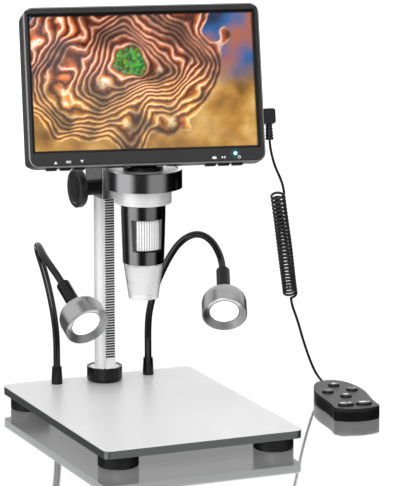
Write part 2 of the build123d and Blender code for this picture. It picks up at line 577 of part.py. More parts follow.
# ---------------------------------------------------------------- head: collar, neck, barrel, optics
def make_head():
    flange_low = LIP_TOP_Z + 0.1
    low = HEAD_COLLAR_BOTTOM_Z
    collar = turned([
        (0, low), (HEAD_COLLAR_R - HEAD_COLLAR_CHAMFER, low),
        (HEAD_COLLAR_R, low + HEAD_COLLAR_CHAMFER), (HEAD_COLLAR_R, flange_low),
        (FLANGE_HEAD_R, flange_low), (FLANGE_HEAD_R, FLANGE_TOP_Z), (0, FLANGE_TOP_Z),
    ])
    collar -= post(HEAD_BORE_R + SEAT, low - OVERRUN, FLANGE_TOP_Z + OVERRUN)
    parts["head_collar"] = HEAD_FRAME * collar

    neck = post(NECK_R, FLANGE_TOP_Z, NECK_TOP_Z)
    neck += post(HEAD_BORE_R, FLANGE_TOP_Z - NECK_SPIGOT_L, FLANGE_TOP_Z)
    half = KNUCKLE_W / 2
    neck += block(-half, half, -KNUCKLE_R, KNUCKLE_R, NECK_TOP_Z - OVERRUN, PIN_Z)
    neck += post_x(KNUCKLE_R, -half, half, 0, PIN_Z)
    neck -= post_x(PIN_R + RUN, -half - OVERRUN, half + OVERRUN, 0, PIN_Z)
    parts["neck"] = HEAD_FRAME * neck

    inner = BARREL_R - BARREL_WALL
    step = LENS_CELL_R + 2 * CLEAR
    ring_low, ring_high = WINDOW_BOTTOM_Z - CLEAR, WINDOW_TOP_Z + CLEAR
    board_seat = HEAD_COLLAR_BOTTOM_Z - 4.0
    top = HEAD_COLLAR_BOTTOM_Z
    barrel = turned([
        (step, BARREL_BOTTOM_Z), (BARREL_END_R, BARREL_BOTTOM_Z), (BARREL_R, BARREL_TAPER_TOP_Z),
        (BARREL_R, top), (HEAD_BORE_R, top), (HEAD_BORE_R, top + BARREL_SPIGOT_L),
        (BARREL_WIRE_R, top + BARREL_SPIGOT_L), (BARREL_WIRE_R, board_seat),
        (step, board_seat), (step, ring_high), (inner, ring_high), (inner, ring_low), (step, ring_low),
    ])
    face_r = (BARREL_R + BARREL_END_R) / 2
    edge, corner = math.radians(WINDOW_FROM), math.radians(WINDOW_FROM + WINDOW_SLOPE)
    outer_x, outer_y = face_r * math.cos(edge), face_r * math.sin(edge)
    inner_x, inner_y = inner * math.cos(corner), inner * math.sin(corner)
    fan = [(0, 0), (inner_x, inner_y), (3 * outer_x - 2 * inner_x, 3 * outer_y - 2 * inner_y)]
    for i in range(7):
        a = math.radians(WINDOW_FROM + (WINDOW_TO - WINDOW_FROM) * i / 6)
        fan.append((2 * BARREL_R * math.cos(a), 2 * BARREL_R * math.sin(a)))
    sector_face = make_face(Polyline(*fan, close=True))
    sector = Pos(0, 0, WINDOW_BOTTOM_Z) * extrude(sector_face, WINDOW_TOP_Z - WINDOW_BOTTOM_Z)
    sector -= post(inner - 0.5, WINDOW_BOTTOM_Z - OVERRUN, WINDOW_TOP_Z + OVERRUN)
    parts["barrel"] = Pos(0, RING_Y, 0) * (barrel - sector)

    ring = post(FOCUS_RING_R, WINDOW_BOTTOM_Z + FOCUS_RING_END_GAP, WINDOW_TOP_Z - FOCUS_RING_END_GAP)
    ring -= post(FOCUS_RING_BORE_R, WINDOW_BOTTOM_Z, WINDOW_TOP_Z)
    parts["focus_ring"] = Pos(0, RING_Y, 0) * ring

    lens_top = LENS_CELL_BOTTOM_Z + 1.0 + LENS_THICK
    cell = post(LENS_CELL_R, LENS_CELL_BOTTOM_Z, LENS_CELL_TOP_Z)
    cell -= post(LENS_CELL_BORE_R, LENS_CELL_BOTTOM_Z + 1.0, LENS_CELL_TOP_Z + OVERRUN)
    cell -= post(LENS_CELL_BORE_R - 1.0, LENS_CELL_BOTTOM_Z - OVERRUN, LENS_CELL_BOTTOM_Z + 2.0)
    parts["lens_cell"] = Pos(0, RING_Y, 0) * cell
    glass = post(LENS_CELL_BORE_R - SEAT, LENS_CELL_BOTTOM_Z + 1.0, lens_top)
    parts["lens_glass"] = Pos(0, RING_Y, 0) * glass
    parts["sensor_board"] = HEAD_FRAME * post(step - SEAT, board_seat - SENSOR_BOARD_T, board_seat)

    board = post(LED_BOARD_R, BARREL_BOTTOM_Z - LED_BOARD_T, BARREL_BOTTOM_Z)
    led_ring = (LED_BOARD_R + LED_BOARD_HOLE_R) / 2
    for i in range(LED_COUNT):
        chip = block(-LED_SIZE / 2, LED_SIZE / 2, -LED_SIZE / 2, LED_SIZE / 2, -LED_H, 0.2)
        board += Rot(0, 0, 360 * i / LED_COUNT) * Pos(led_ring, 0, BARREL_BOTTOM_Z - LED_BOARD_T) * chip
    board -= post(LED_BOARD_HOLE_R, BARREL_BOTTOM_Z - LED_BOARD_T - OVERRUN, BARREL_BOTTOM_Z + OVERRUN)
    parts["led_board"] = HEAD_FRAME * board

    mouth = BARREL_BOTTOM_Z - GUARD_H
    guard = turned([
        (GUARD_TOP_R - GUARD_WALL, BARREL_BOTTOM_Z), (GUARD_TOP_R, BARREL_BOTTOM_Z),
        (GUARD_MOUTH_R, mouth), (GUARD_MOUTH_R - GUARD_WALL, mouth),
    ])
    parts["light_guard"] = Pos(0, RING_Y, 0) * guard


# ---------------------------------------------------------------- screen
def screen_slab(y0, y1, inset=0.0):
    """A slab with the screen's outline, between two depths of the screen's own frame."""
    corner = max(SCREEN_CORNER_R - inset, 1.0)
    slab = rounded_slab(2 * (SCREEN_HALF_W - inset), SCREEN_TALL - 2 * inset, y1 - y0, corner)
    return Pos(0, y1, SCREEN_MID) * Rot(90, 0, 0) * slab


def case_places():
    return [(x, z) for x in (-CASE_SCREW_X, CASE_SCREW_X) for z in (CASE_SCREW_LOW, CASE_SCREW_HIGH)]


def key_box(x, grow, z0, z1):
    front = KEY_FRONT - SCREEN_FACE
    return block(x - KEY_W / 2 - grow, x + KEY_W / 2 + grow, front - grow, front + KEY_D + grow, z0, z1)


def make_bezel():
    front, back = -SCREEN_FACE, PARTING
    frame = screen_slab(front, back)
    frame = fillet(frame.faces().sort_by(Axis.Y)[0].edges(), SCREEN_FRONT_ROUND)
    frame -= screen_slab(LIP_BACK, back + OVERRUN, SCREEN_WALL)
    hole = Pos(0, 0, PICTURE_TO_PIN) * Box(PICTURE_HOLE_W, 4 * LIP_T, PICTURE_HOLE_H)
    frame -= Pos(0, front, 0) * hole
    grow = 2 * LIP_BEVEL
    facing = Rot(90, 0, 0)
    wide = Rectangle(PICTURE_HOLE_W + grow, PICTURE_HOLE_H + grow)
    tight = Rectangle(PICTURE_HOLE_W, PICTURE_HOLE_H)
    frame -= loft([
        Pos(0, front - 0.01, PICTURE_TO_PIN) * facing * wide,
        Pos(0, LIP_BACK - 0.3, PICTURE_TO_PIN) * facing * tight,
    ])
    pocket_front = -NECK_R - POCKET_FRONT_GAP
    pocket_half = POCKET_W / 2
    wall_half = pocket_half + SCREEN_WALL
    low, roof = SCREEN_LOW, POCKET_ROOF
    frame += block(-wall_half, wall_half, pocket_front - SCREEN_WALL, back, low, roof + SCREEN_WALL)
    frame -= block(-pocket_half, pocket_half, pocket_front, back + OVERRUN, low - OVERRUN, roof)
    lcd_back = LIP_BACK + GLASS_T + LCD_T
    for x, z in case_places():
        outer = SCREEN_HALF_W - SCREEN_WALL / 2
        x0, x1 = sorted((math.copysign(abs(x) - CASE_POST_R, x), math.copysign(outer, x)))
        frame += block(x0, x1, lcd_back + CLEAR, back, z - CASE_POST_R, z + CASE_POST_R)
        frame -= post_y(CASE_SCREW_R + SEAT, lcd_back, back + OVERRUN, x, z)
    for x in KEY_XS:
        frame -= key_box(x, KEY_GAP, SCREEN_LOW - OVERRUN, SCREEN_LOW + SCREEN_WALL + OVERRUN)
    light_x, light_z = POWER_LIGHT_X, POWER_LIGHT_Z
    frame -= post_y(POWER_LIGHT_R + SEAT, front - OVERRUN, LIP_BACK + OVERRUN, light_x, light_z)
    frame -= post_x(PLUG_TIP_R + PLUG_TIP_FIT, 0, SCREEN_HALF_W + OVERRUN, -PLUG_BACK, PLUG_Z)
    parts["screen_bezel"] = SCREEN_FRAME * frame

    light = post_y(POWER_LIGHT_R, front - POWER_LIGHT_PROUD, LIP_BACK + GLASS_T, light_x, light_z)
    parts["power_light"] = SCREEN_FRAME * light
    glass_w = PICTURE_HOLE_W + 2 * GLASS_OVERLAP
    glass_h = PICTURE_HOLE_H + 2 * GLASS_OVERLAP
    glass_back = LIP_BACK + GLASS_T
    mid = PICTURE_TO_PIN
    glass = block(-glass_w / 2, glass_w / 2, LIP_BACK, glass_back, mid - glass_h / 2, mid + glass_h / 2)
    parts["screen_glass"] = SCREEN_FRAME * glass
    panel = block(-glass_w / 2, glass_w / 2, glass_back, lcd_back, mid - glass_h / 2, mid + glass_h / 2)
    bore_end = SCREEN_HALF_W - PLUG_TIP_L - OVERRUN
    panel -= post_x(PLUG_TIP_R + PLUG_TIP_FIT, bore_end, SCREEN_HALF_W, -PLUG_BACK, PLUG_Z)
    parts["lcd_panel"] = SCREEN_FRAME * panel


def make_rear_cover():
    front, back = PARTING, SCREEN_BACK
    cover = screen_slab(front, back)
    cover = fillet(cover.faces().sort_by(Axis.Y)[-1].edges(), SCREEN_REAR_ROUND)
    cover -= screen_slab(front - OVERRUN, back - SCREEN_WALL, SCREEN_WALL)
    past, deep = back + OVERRUN, SCREEN_LOW - UNDER
    past_rise = REAR_UNDERCUT * (past - front) / (back - front)
    corners = [(0, front, SCREEN_LOW), (0, past, SCREEN_LOW + past_rise), (0, past, deep), (0, front, deep)]
    wedge = make_face(Polyline(*corners, close=True))
    wedge = extrude(wedge, SCREEN_HALF_W + OVERRUN, dir=(1, 0, 0), both=True)
    rise = SCREEN_WALL
    floor_side = Polyline(
        (0, front, SCREEN_LOW), (0, back, SCREEN_LOW + REAR_UNDERCUT),
        (0, back, SCREEN_LOW + REAR_UNDERCUT + rise), (0, front, SCREEN_LOW + rise), close=True)
    floor = extrude(make_face(floor_side), SCREEN_HALF_W - SCREEN_CORNER_R, dir=(1, 0, 0), both=True)
    cover = cover - wedge + floor
    ear_half, pocket_half, notch_half = EAR_BLOCK_W / 2, POCKET_W / 2, NOTCH_W / 2
    ear_front = -KNUCKLE_R - CLEAR - SCREEN_WALL
    cover += block(-ear_half, ear_half, ear_front, back, SCREEN_LOW + SCREEN_WALL, EAR_BLOCK_TOP)
    cover += block(-ear_half, ear_half, front, ear_front + OVERRUN, SCREEN_LOW + SCREEN_WALL,
                   POCKET_ROOF + SCREEN_WALL)
    cover -= wedge
    swing = KNUCKLE_R + 2 * CLEAR
    cover -= block(-notch_half, notch_half, -swing, back + OVERRUN, SCREEN_LOW - OVERRUN, swing)
    cover -= block(-pocket_half, pocket_half, front - OVERRUN, back + OVERRUN, deep, POCKET_ROOF)
    cover -= post_x(PIN_R + SEAT, -PIN_LENGTH / 2, PIN_LENGTH / 2)
    head_seat = back - CASE_SCREW_SINK - CASE_SCREW_HEAD_H
    for x, z in case_places():
        cover += post_y(CASE_POST_R, front, back - SCREEN_WALL / 2, x, z)
        cover -= post_y(CASE_SCREW_R + CLEAR, front - OVERRUN, back + OVERRUN, x, z)
        cover -= post_y(CASE_SCREW_HEAD_R + CLEAR, head_seat, back + OVERRUN, x, z)
    board_z = PICTURE_TO_PIN + MAIN_BOARD_ABOVE_MIDDLE
    board_back = back - SCREEN_WALL - MAIN_BOARD_STANDOFF
    for x in (-1, 1):
        for z in (-1, 1):
            px = x * (MAIN_BOARD_W / 2 - MAIN_BOARD_POST_INSET)
            pz = board_z + z * (MAIN_BOARD_H / 2 - MAIN_BOARD_POST_INSET)
            cover += post_y(MAIN_BOARD_POST_R, board_back, back - SCREEN_WALL / 2, px, pz)
    parts["rear_cover"] = SCREEN_FRAME * cover

    board = block(-MAIN_BOARD_W / 2, MAIN_BOARD_W / 2, board_back - MAIN_BOARD_T, board_back,
                  board_z - MAIN_BOARD_H / 2, board_z + MAIN_BOARD_H / 2)
    parts["main_board"] = SCREEN_FRAME * board
    parts["hinge_pin"] = SCREEN_FRAME * post_x(PIN_R, -PIN_LENGTH / 2, PIN_LENGTH / 2)
    screws = []
    shank_end = LIP_BACK + GLASS_T + LCD_T + CASE_SCREW_END_GAP
    for x, z in case_places():
        screw = post_y(CASE_SCREW_R, shank_end, head_seat + CASE_SCREW_HEAD_H / 2, x, z)
        screw += post_y(CASE_SCREW_HEAD_R, head_seat, head_seat + CASE_SCREW_HEAD_H, x, z)
        screws.append(SCREEN_FRAME * screw)
    parts["case_screws"] = group(screws)


def make_keys():
    wall_inner = SCREEN_LOW + SCREEN_WALL
    for name, x in zip(KEY_NAMES, KEY_XS):
        cap = key_box(x, 0, SCREEN_LOW - KEY_PROUD, wall_inner + CLEAR + KEY_FLANGE_T)
        cap = fillet(cap.faces().sort_by(Axis.Z)[0].edges(), 0.4)
        cap += key_box(x, KEY_GAP + KEY_FLANGE, wall_inner + CLEAR, wall_inner + CLEAR + KEY_FLANGE_T)
        parts[name] = SCREEN_FRAME * cap


# ---------------------------------------------------------------- plug and lead
def make_lead():
    side = SCREEN_HALF_W + PLUG_SEAT_GAP
    mid = side + PLUG_REACH / 2
    body = block(side, side + PLUG_REACH, -PLUG_BACK - PLUG_DEPTH / 2, -PLUG_BACK + PLUG_DEPTH / 2,
                 PLUG_Z - PLUG_H / 2, PLUG_Z + PLUG_H / 2)
    body = fillet(body.edges().filter_by(Axis.Y), 1.6)
    body += post_x(PLUG_TIP_R, side - PLUG_TIP_L, side + OVERRUN, -PLUG_BACK, PLUG_Z)
    top = PLUG_Z - PLUG_H / 2
    step = RELIEF_L / RELIEF_RIBS
    profile = [(0, OVERRUN), (RELIEF_TOP_R, OVERRUN)]
    for i in range(RELIEF_RIBS):
        r = RELIEF_TOP_R + (RELIEF_END_R - RELIEF_TOP_R) * i / (RELIEF_RIBS - 1)
        z = -step * i
        profile += [(r - 0.5, z), (r - 0.5, z - step * 0.35), (r, z - step * 0.35), (r, z - step)]
    profile.append((0, -RELIEF_L))
    body += Pos(mid, -PLUG_BACK, top) * turned(profile)
    parts["remote_plug"] = SCREEN_FRAME * body
    relief_end = (SCREEN_FRAME * Pos(mid, -PLUG_BACK, top - RELIEF_L)).position
    below_relief = (SCREEN_FRAME * Pos(mid, -PLUG_BACK, top - RELIEF_L - LEAD_EXIT_RUN)).position

    top_axis, middle_axis, end_axis = (Vector(*p) for p in LEAD_COIL)
    into_coil = (middle_axis - top_axis).normalized()
    out_of_coil = (end_axis - middle_axis).normalized()
    upper_end = top_axis + across(COIL_TOP_SIDE, into_coil) * (COIL_D - LEAD_D) / 2
    lower_start = end_axis + across(COIL_END_SIDE, out_of_coil) * (COIL_D - LEAD_D) / 2
    remote_end = (REMOTE_FRAME * Pos(0, REMOTE_L / 2 + SEAT, REMOTE_H / 2)).position
    before_remote = (REMOTE_FRAME * Pos(0, REMOTE_L / 2 + SEAT + LEAD_REMOTE_RUN, REMOTE_H / 2)).position
    upper = [relief_end, below_relief, *UPPER_BENDS, upper_end - into_coil * LEAD_COIL_RUN, upper_end]
    below_coil = lower_start + out_of_coil * LEAD_COIL_RUN
    lower = [lower_start, below_coil, *LOWER_BENDS, before_remote, remote_end]
    parts["lead_upper"] = tube("lead_upper", upper, LEAD_D)
    parts["lead_coil"] = tube("lead_coil", LEAD_COIL, COIL_D)
    parts["lead_lower"] = tube("lead_lower", lower, LEAD_D)


# ---------------------------------------------------------------- lamps
def lamp_frame(lens, aim):
    """Z runs from the lens face back to the gooseneck."""
    level = Vector(*aim).cross(Vector(0, 0, 1)).normalized()
    return Plane(origin=lens, x_dir=level, z_dir=-Vector(*aim)).location


def make_lamp(side, lens, aim, neck_points):
    frame = lamp_frame(lens, aim)
    drum_end = LAMP_DRUM_L
    dome_end = LAMP_DRUM_L + LAMP_DOME_L
    collar_start = LAMP_LENGTH - LAMP_COLLAR_L
    rim, edge = -LAMP_RIM_L, LAMP_RIM_T / 2
    profile = [
        (0, LAMP_LENS_SINK), (LAMP_SEAT_R, LAMP_LENS_SINK), (LAMP_R - LAMP_RIM_T, rim), (LAMP_R - edge, rim),
        (LAMP_R, rim + edge), (LAMP_R, drum_end),
    ]
    crown_r = LAMP_COLLAR_R + LAMP_CROWN_LEDGE
    for i in range(1, 5):
        a = math.radians(90 * i / 5)
        profile.append((crown_r + (LAMP_R - crown_r) * math.cos(a), drum_end + LAMP_DOME_L * math.sin(a)))
    profile += [(crown_r, dome_end), (0, dome_end)]
    housing = turned(profile)
    housing -= post(LAMP_LENS_R + SEAT, 0, LAMP_LENS_SINK + LAMP_LENS_T)
    housing -= post(LAMP_LENS_R - 1, 0, drum_end - LAMP_WALL)
    housing -= post(LAMP_COLLAR_R + SEAT, collar_start, dome_end + OVERRUN)
    parts[f"lamp_housing_{side}"] = frame * housing
    parts[f"lamp_lens_{side}"] = frame * post(LAMP_LENS_R, LAMP_LENS_SINK, LAMP_LENS_SINK + LAMP_LENS_T)
    collar = post(LAMP_COLLAR_R, collar_start, LAMP_LENGTH)
    collar = chamfer(collar.edges().filter_by(GeomType.CIRCLE).sort_by(Axis.Z)[-1], 1.0)
    collar -= post(NECK_TUBE_D / 2 + SEAT, LAMP_LENGTH - NECK_SEAT, LAMP_LENGTH + OVERRUN)
    parts[f"lamp_collar_{side}"] = frame * collar

    socket_x, socket_top = math.copysign(SOCKET_X, lens[0]), PLATE_TOP + SOCKET_H
    start = (socket_x, SOCKET_Y, socket_top - SOCKET_BORE_DEPTH)
    upright = (socket_x, SOCKET_Y, socket_top + NECK_UPRIGHT)
    outside = (frame * Pos(0, 0, LAMP_LENGTH + NECK_RUN)).position
    seated = (frame * Pos(0, 0, LAMP_LENGTH - NECK_SEAT)).position
    name = f"gooseneck_{side}"
    parts[name] = tube(name, [start, upright, *neck_points, outside, seated], NECK_TUBE_D)


def make_lamps():
    sockets = []
    for x in (-SOCKET_X, SOCKET_X):
        top = PLATE_TOP + SOCKET_H
        straight = PLATE_TOP + SOCKET_STRAIGHT
        outline = [(0, PLATE_TOP), (SOCKET_R, PLATE_TOP), (SOCKET_R, straight), (SOCKET_TOP_R, top), (0, top)]
        socket = turned(outline)
        socket += post(SOCKET_STUD_R, FOOT_H + 0.5, PLATE_TOP + OVERRUN)
        socket -= post(NECK_TUBE_D / 2 + RUN, top - SOCKET_BORE_DEPTH, top + OVERRUN)
        sockets.append(Pos(x, SOCKET_Y, 0) * socket)
    parts["lamp_sockets"] = group(sockets)
    make_lamp("left", LEFT_LENS, LEFT_AIM, LEFT_NECK)
    make_lamp("right", RIGHT_LENS, RIGHT_AIM, RIGHT_NECK)


# ---------------------------------------------------------------- remote
def remote_face(inset=0.0):
    """Outline of the remote, long axis along Y: nearly square near end, slight waist, round far end."""
    half_l = REMOTE_L / 2
    end, waist = REMOTE_END_HALF - inset, REMOTE_WAIST_HALF - inset
    wide, shoulder = REMOTE_WIDE_HALF - inset, REMOTE_SHOULDER_HALF - inset
    corner_y = REMOTE_END_BULGE - half_l + inset
    right = Spline(
        (end, corner_y), (waist, -0.42 * half_l), (wide, 0.19 * half_l), (shoulder, 0.61 * half_l),
        (0, half_l - inset), tangents=[(-0.1, 1), (-1, 0)])
    near = ThreePointArc((-end, corner_y), (0, inset - half_l), (end, corner_y))
    face = make_face([right, mirror(right, Plane.YZ), near])
    return fillet(face.vertices().group_by(Axis.Y)[0], REMOTE_CORNER_R - inset)


def make_remote():
    split = REMOTE_H - REMOTE_TOP_T
    shell = extrude(remote_face(), split)
    shell = fillet(shell.edges().group_by(Axis.Z)[0], 0.6)
    shell -= Pos(0, 0, REMOTE_WALL) * extrude(remote_face(REMOTE_WALL), REMOTE_H)
    for y in REMOTE_POST_YS:
        shell += post(REMOTE_POST_R, REMOTE_WALL / 2, REMOTE_BOARD_Z, 0, y)
    parts["remote_bottom"] = REMOTE_FRAME * shell
    board = Pos(0, 0, REMOTE_BOARD_Z) * extrude(remote_face(REMOTE_BOARD_INSET), REMOTE_BOARD_T)
    parts["remote_board"] = REMOTE_FRAME * board

    lid = Pos(0, 0, split) * extrude(remote_face(), REMOTE_TOP_T)
    lid = fillet(lid.edges().group_by(Axis.Z)[-1], 0.5)
    lid += Pos(0, 0, split - REMOTE_LIP) * (
        extrude(remote_face(REMOTE_WALL + LIP_FIT), REMOTE_LIP + 0.5)
        - extrude(remote_face(REMOTE_WALL + LIP_FIT + REMOTE_LIP_T), REMOTE_LIP))
    flange_top = split - RB_GAP
    flange_low = flange_top - RB_FLANGE_T
    stem_low = REMOTE_BOARD_Z + REMOTE_BOARD_T + RB_TRAVEL + RB_STOP_GAP
    for name, (along, sideways), length in zip(RB_NAMES, RB_PLACES, RB_LENGTHS):
        place = Pos(sideways, along, 0)
        cutter = extrude(button_face(length, RB_GAP), REMOTE_TOP_T + 2 * OVERRUN)
        lid -= place * Pos(0, 0, split - OVERRUN) * cutter
        cap = Pos(0, 0, flange_low) * extrude(button_face(length, 0), REMOTE_H + RB_PROUD - flange_low)
        cap = fillet(cap.edges().group_by(Axis.Z)[-1], RB_DOME)
        cap += Pos(0, 0, flange_low) * extrude(button_face(length, RB_FLANGE), RB_FLANGE_T)
        cap += post(RB_STEM_R, stem_low, flange_top)
        parts[name] = REMOTE_FRAME * place * cap
    parts["remote_top"] = REMOTE_FRAME * lid


def button_face(length, grow):
    width = RB_W + 2 * grow
    return Ellipse((length + 2 * grow) / 2, width / 2) if length != RB_W else Circle(width / 2)


make_base()
make_column()
make_carriage()
make_ring_holder()
make_head()
make_bezel()
make_rear_cover()
make_keys()
make_lead()
make_lamps()
make_remote()

LEAD_NODES = ("remote_plug", "lead_upper", "lead_coil", "lead_lower")
boxes = [shape.bounding_box() for name, shape in parts.items() if name not in LEAD_NODES]
middle_x = (min(b.min.X for b in boxes) + max(b.max.X for b in boxes)) / 2
middle_y = (min(b.min.Y for b in boxes) + max(b.max.Y for b in boxes)) / 2
TO_ORIGIN = Pos(-middle_x, -middle_y, 0)
print(f"origin at design X {middle_x:.4f}, Y {middle_y:.4f}")

os.makedirs("parts", exist_ok=True)
for name, shape in parts.items():
    export_step(TO_ORIGIN * shape, f"parts/{name}.step")
print(len(parts), "nodes")
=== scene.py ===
import math

import bpy
from mathutils import Matrix, Vector


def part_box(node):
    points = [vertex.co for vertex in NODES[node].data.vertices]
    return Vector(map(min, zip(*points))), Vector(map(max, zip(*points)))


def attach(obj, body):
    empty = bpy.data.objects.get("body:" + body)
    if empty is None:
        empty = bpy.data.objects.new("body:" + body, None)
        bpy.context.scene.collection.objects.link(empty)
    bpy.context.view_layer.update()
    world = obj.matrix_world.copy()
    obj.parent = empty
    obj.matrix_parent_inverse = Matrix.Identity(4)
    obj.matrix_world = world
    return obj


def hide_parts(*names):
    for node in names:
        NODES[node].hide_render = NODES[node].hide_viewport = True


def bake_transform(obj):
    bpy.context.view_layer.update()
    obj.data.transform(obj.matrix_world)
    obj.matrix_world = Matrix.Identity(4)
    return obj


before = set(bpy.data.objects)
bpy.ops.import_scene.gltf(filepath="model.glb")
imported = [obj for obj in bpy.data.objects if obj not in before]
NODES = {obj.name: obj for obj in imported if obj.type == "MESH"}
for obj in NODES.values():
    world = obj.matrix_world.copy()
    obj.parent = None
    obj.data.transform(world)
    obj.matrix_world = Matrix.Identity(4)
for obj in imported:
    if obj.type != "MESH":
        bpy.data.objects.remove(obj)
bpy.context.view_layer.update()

# Design coordinates, in millimetres: X right and Y back from the stage plate's centre, Z up from the table.
plate_low, plate_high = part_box("base_plate")
SHIFT = Vector(((plate_low[0] + plate_high[0]) / 2, (plate_low[1] + plate_high[1]) / 2, 0))


def at(x, y, z):
    """A design point in the row's metres."""
    return Vector((x, y, z)) / 1000 + SHIFT


# ---------------------------------------------------------------- camera
PHOTO_LONG_SIDE = 486
FOCAL_PX = 3400.0
SENSOR = 36.0
CAMERA_AT = (-867.1, -2109.3, 599.6)
CAMERA_AIM = (0.3890, 0.8990, -0.2016)

camera = bpy.data.objects.new("camera", bpy.data.cameras.new("camera"))
bpy.context.scene.collection.objects.link(camera)
camera.location = at(*CAMERA_AT)
camera.rotation_euler = Vector(CAMERA_AIM).to_track_quat("-Z", "Y").to_euler()
camera.data.sensor_width = SENSOR
camera.data.lens = FOCAL_PX / PHOTO_LONG_SIDE * SENSOR
camera.data.clip_start = 0.1
camera.data.clip_end = 30.0
bpy.context.scene.camera = camera

# ---------------------------------------------------------------- places of screen, remote, knobs and lamps
UP = (0, 0, 1)
HEAD_Y = 9.0
COLUMN_Y = 83
PINION = (0, 66.3, 159.05)
SCREEN_TILT = math.radians(16.7)
SCREEN_TURN = math.radians(-13.7)
PIN = Vector((0.0, HEAD_Y, 187.9))
# The screen's own coordinates: X right, Y back and Z up its face, from the hinge pin.
SCREEN = (Matrix.Translation(PIN) @ Matrix.Rotation(SCREEN_TURN, 4, "Z")
          @ Matrix.Rotation(-SCREEN_TILT, 4, "X"))
BEZEL_FACE = -23.8
PICTURE_MIDDLE = SCREEN @ Vector((0, 0, 50))
ACROSS = (SCREEN.to_3x3() @ Vector((1, 0, 0))).normalized()
UPWARDS = (SCREEN.to_3x3() @ Vector((0, 0, 1))).normalized()
BACKWARDS = SCREEN.to_3x3() @ Vector((0, 1, 0))
REMOTE = Matrix.Translation((147.6, -3.0, 0.0)) @ Matrix.Rotation(math.radians(-9.8), 4, "Z")

RING_AXIS = (at(0, HEAD_Y, 0), UP)
COLUMN_AXIS = (at(0, COLUMN_Y, 0), UP)
PINION_AXIS = (at(*PINION), (1, 0, 0))

# The middle of each lamp's lens, and the way it shines.
LAMPS = {
    "left": (Vector((-40.3, 14.0, 73.5)), Vector((0.082, -0.855, -0.512)).normalized()),
    "right": (Vector((65.7, 20.0, 71.3)), Vector((-0.313, -0.783, -0.538)).normalized()),
}


def lamp_frame(side):
    """Z runs from the lamp's face back to its gooseneck."""
    lens, aim = LAMPS[side]
    level = aim.cross(Vector(UP)).normalized()
    back = -aim
    return Matrix.Translation(lens) @ Matrix((level, back.cross(level), back)).transposed().to_4x4()


# ---------------------------------------------------------------- the lead's line
LEAD_D = 1.8
COIL_D = 11.0
WIND_R = (COIL_D - LEAD_D) / 2
TURNS = 28
POINTS_PER_TURN = 14
# The top turns stand wider apart than the middle ones by this share, and the bottom ones as much closer.
SLACK = 0.16
# The coil's radius wavers by this share, through this many radians from end to end.
WAVER, WAVER_ANGLE = 0.02, 9

relief_end = SCREEN @ Vector((85.85, -14.3, 8.4))
below_relief = SCREEN @ Vector((85.85, -14.3, 4.4))
coil_axis = [Vector((93.4, -8.0, 159.0)), Vector((105.9, 8.5, 122.0)), Vector((118.7, 25.0, 79.2))]
into_coil = (coil_axis[1] - coil_axis[0]).normalized()
out_of_coil = (coil_axis[2] - coil_axis[1]).normalized()


def across(side, direction):
    """The part of side that is square to a direction, as a unit vector."""
    return (side - direction * side.dot(direction)).normalized()


top_side = across(Vector((0.92, -0.40, 0.0)), into_coil)
end_side = across(Vector((-0.39, -0.90, 0.20)), out_of_coil)
upper_end = coil_axis[0] + top_side * WIND_R
lower_start = coil_axis[2] + end_side * WIND_R
remote_end = REMOTE @ Vector((0, 42.42, 4.85))
before_remote = REMOTE @ Vector((0, 49.42, 4.85))
UPPER = [relief_end, below_relief, (82.9, -22.4, 187.0), (86.5, -19.8, 179.6), (91.5, -15.8, 172.3),
         upper_end - into_coil * 6.2, upper_end]
LOWER = [lower_start, lower_start + out_of_coil * 6.2, (124.9, 29.2, 62.6), (130.6, 35.9, 53.4),
         (137.8, 43.0, 38.5), (145.8, 48.0, 21.7), (151.9, 51.0, 11.2), before_remote, remote_end]


def helix():
    """The points of the wound wire, about the coil's axis, which bends once."""
    line_a, line_b = coil_axis[1] - coil_axis[0], coil_axis[2] - coil_axis[1]
    length = line_a.length + line_b.length
    quarter = into_coil.cross(top_side)
    total = 2 * math.pi * TURNS + math.atan2(end_side.dot(quarter), end_side.dot(top_side))
    count = TURNS * POINTS_PER_TURN
    points = []
    for i in range(count + 1):
        t = i / count
        along = (t + SLACK * t * (1 - t)) * length
        if along < line_a.length:
            centre = coil_axis[0] + line_a * (along / line_a.length)
        else:
            centre = coil_axis[1] + line_b * ((along - line_a.length) / line_b.length)
        angle = total * t
        r = WIND_R * (1 - WAVER * math.sin(WAVER_ANGLE * t))
        points.append(centre + (top_side * math.cos(angle) + quarter * math.sin(angle)) * r)
    return points


# ---------------------------------------------------------------- mesh helpers
LATHE_SEGMENTS = 72
MARK_SUNK, MARK_RAISED = -0.02, 0.04
MARK_STEPS = 14


def mesh_object(name, mesh, material, sharp=None):
    """An object with flat faces or, given an angle in degrees, smooth ones with edges sharper than that."""
    obj = bpy.data.objects.new(name, mesh)
    bpy.context.scene.collection.objects.link(obj)
    if sharp:
        mesh.polygons.foreach_set("use_smooth", [True] * len(mesh.polygons))
        mesh.set_sharp_from_angle(angle=math.radians(sharp))
    mesh.materials.append(material)
    return obj


def build(name, verts, faces, material, sharp=None):
    """A mesh from design points in millimetres."""
    mesh = bpy.data.meshes.new(name)
    mesh.from_pydata([tuple(at(*v)) for v in verts], [], faces)
    mesh.validate()
    return mesh_object(name, mesh, material, sharp)


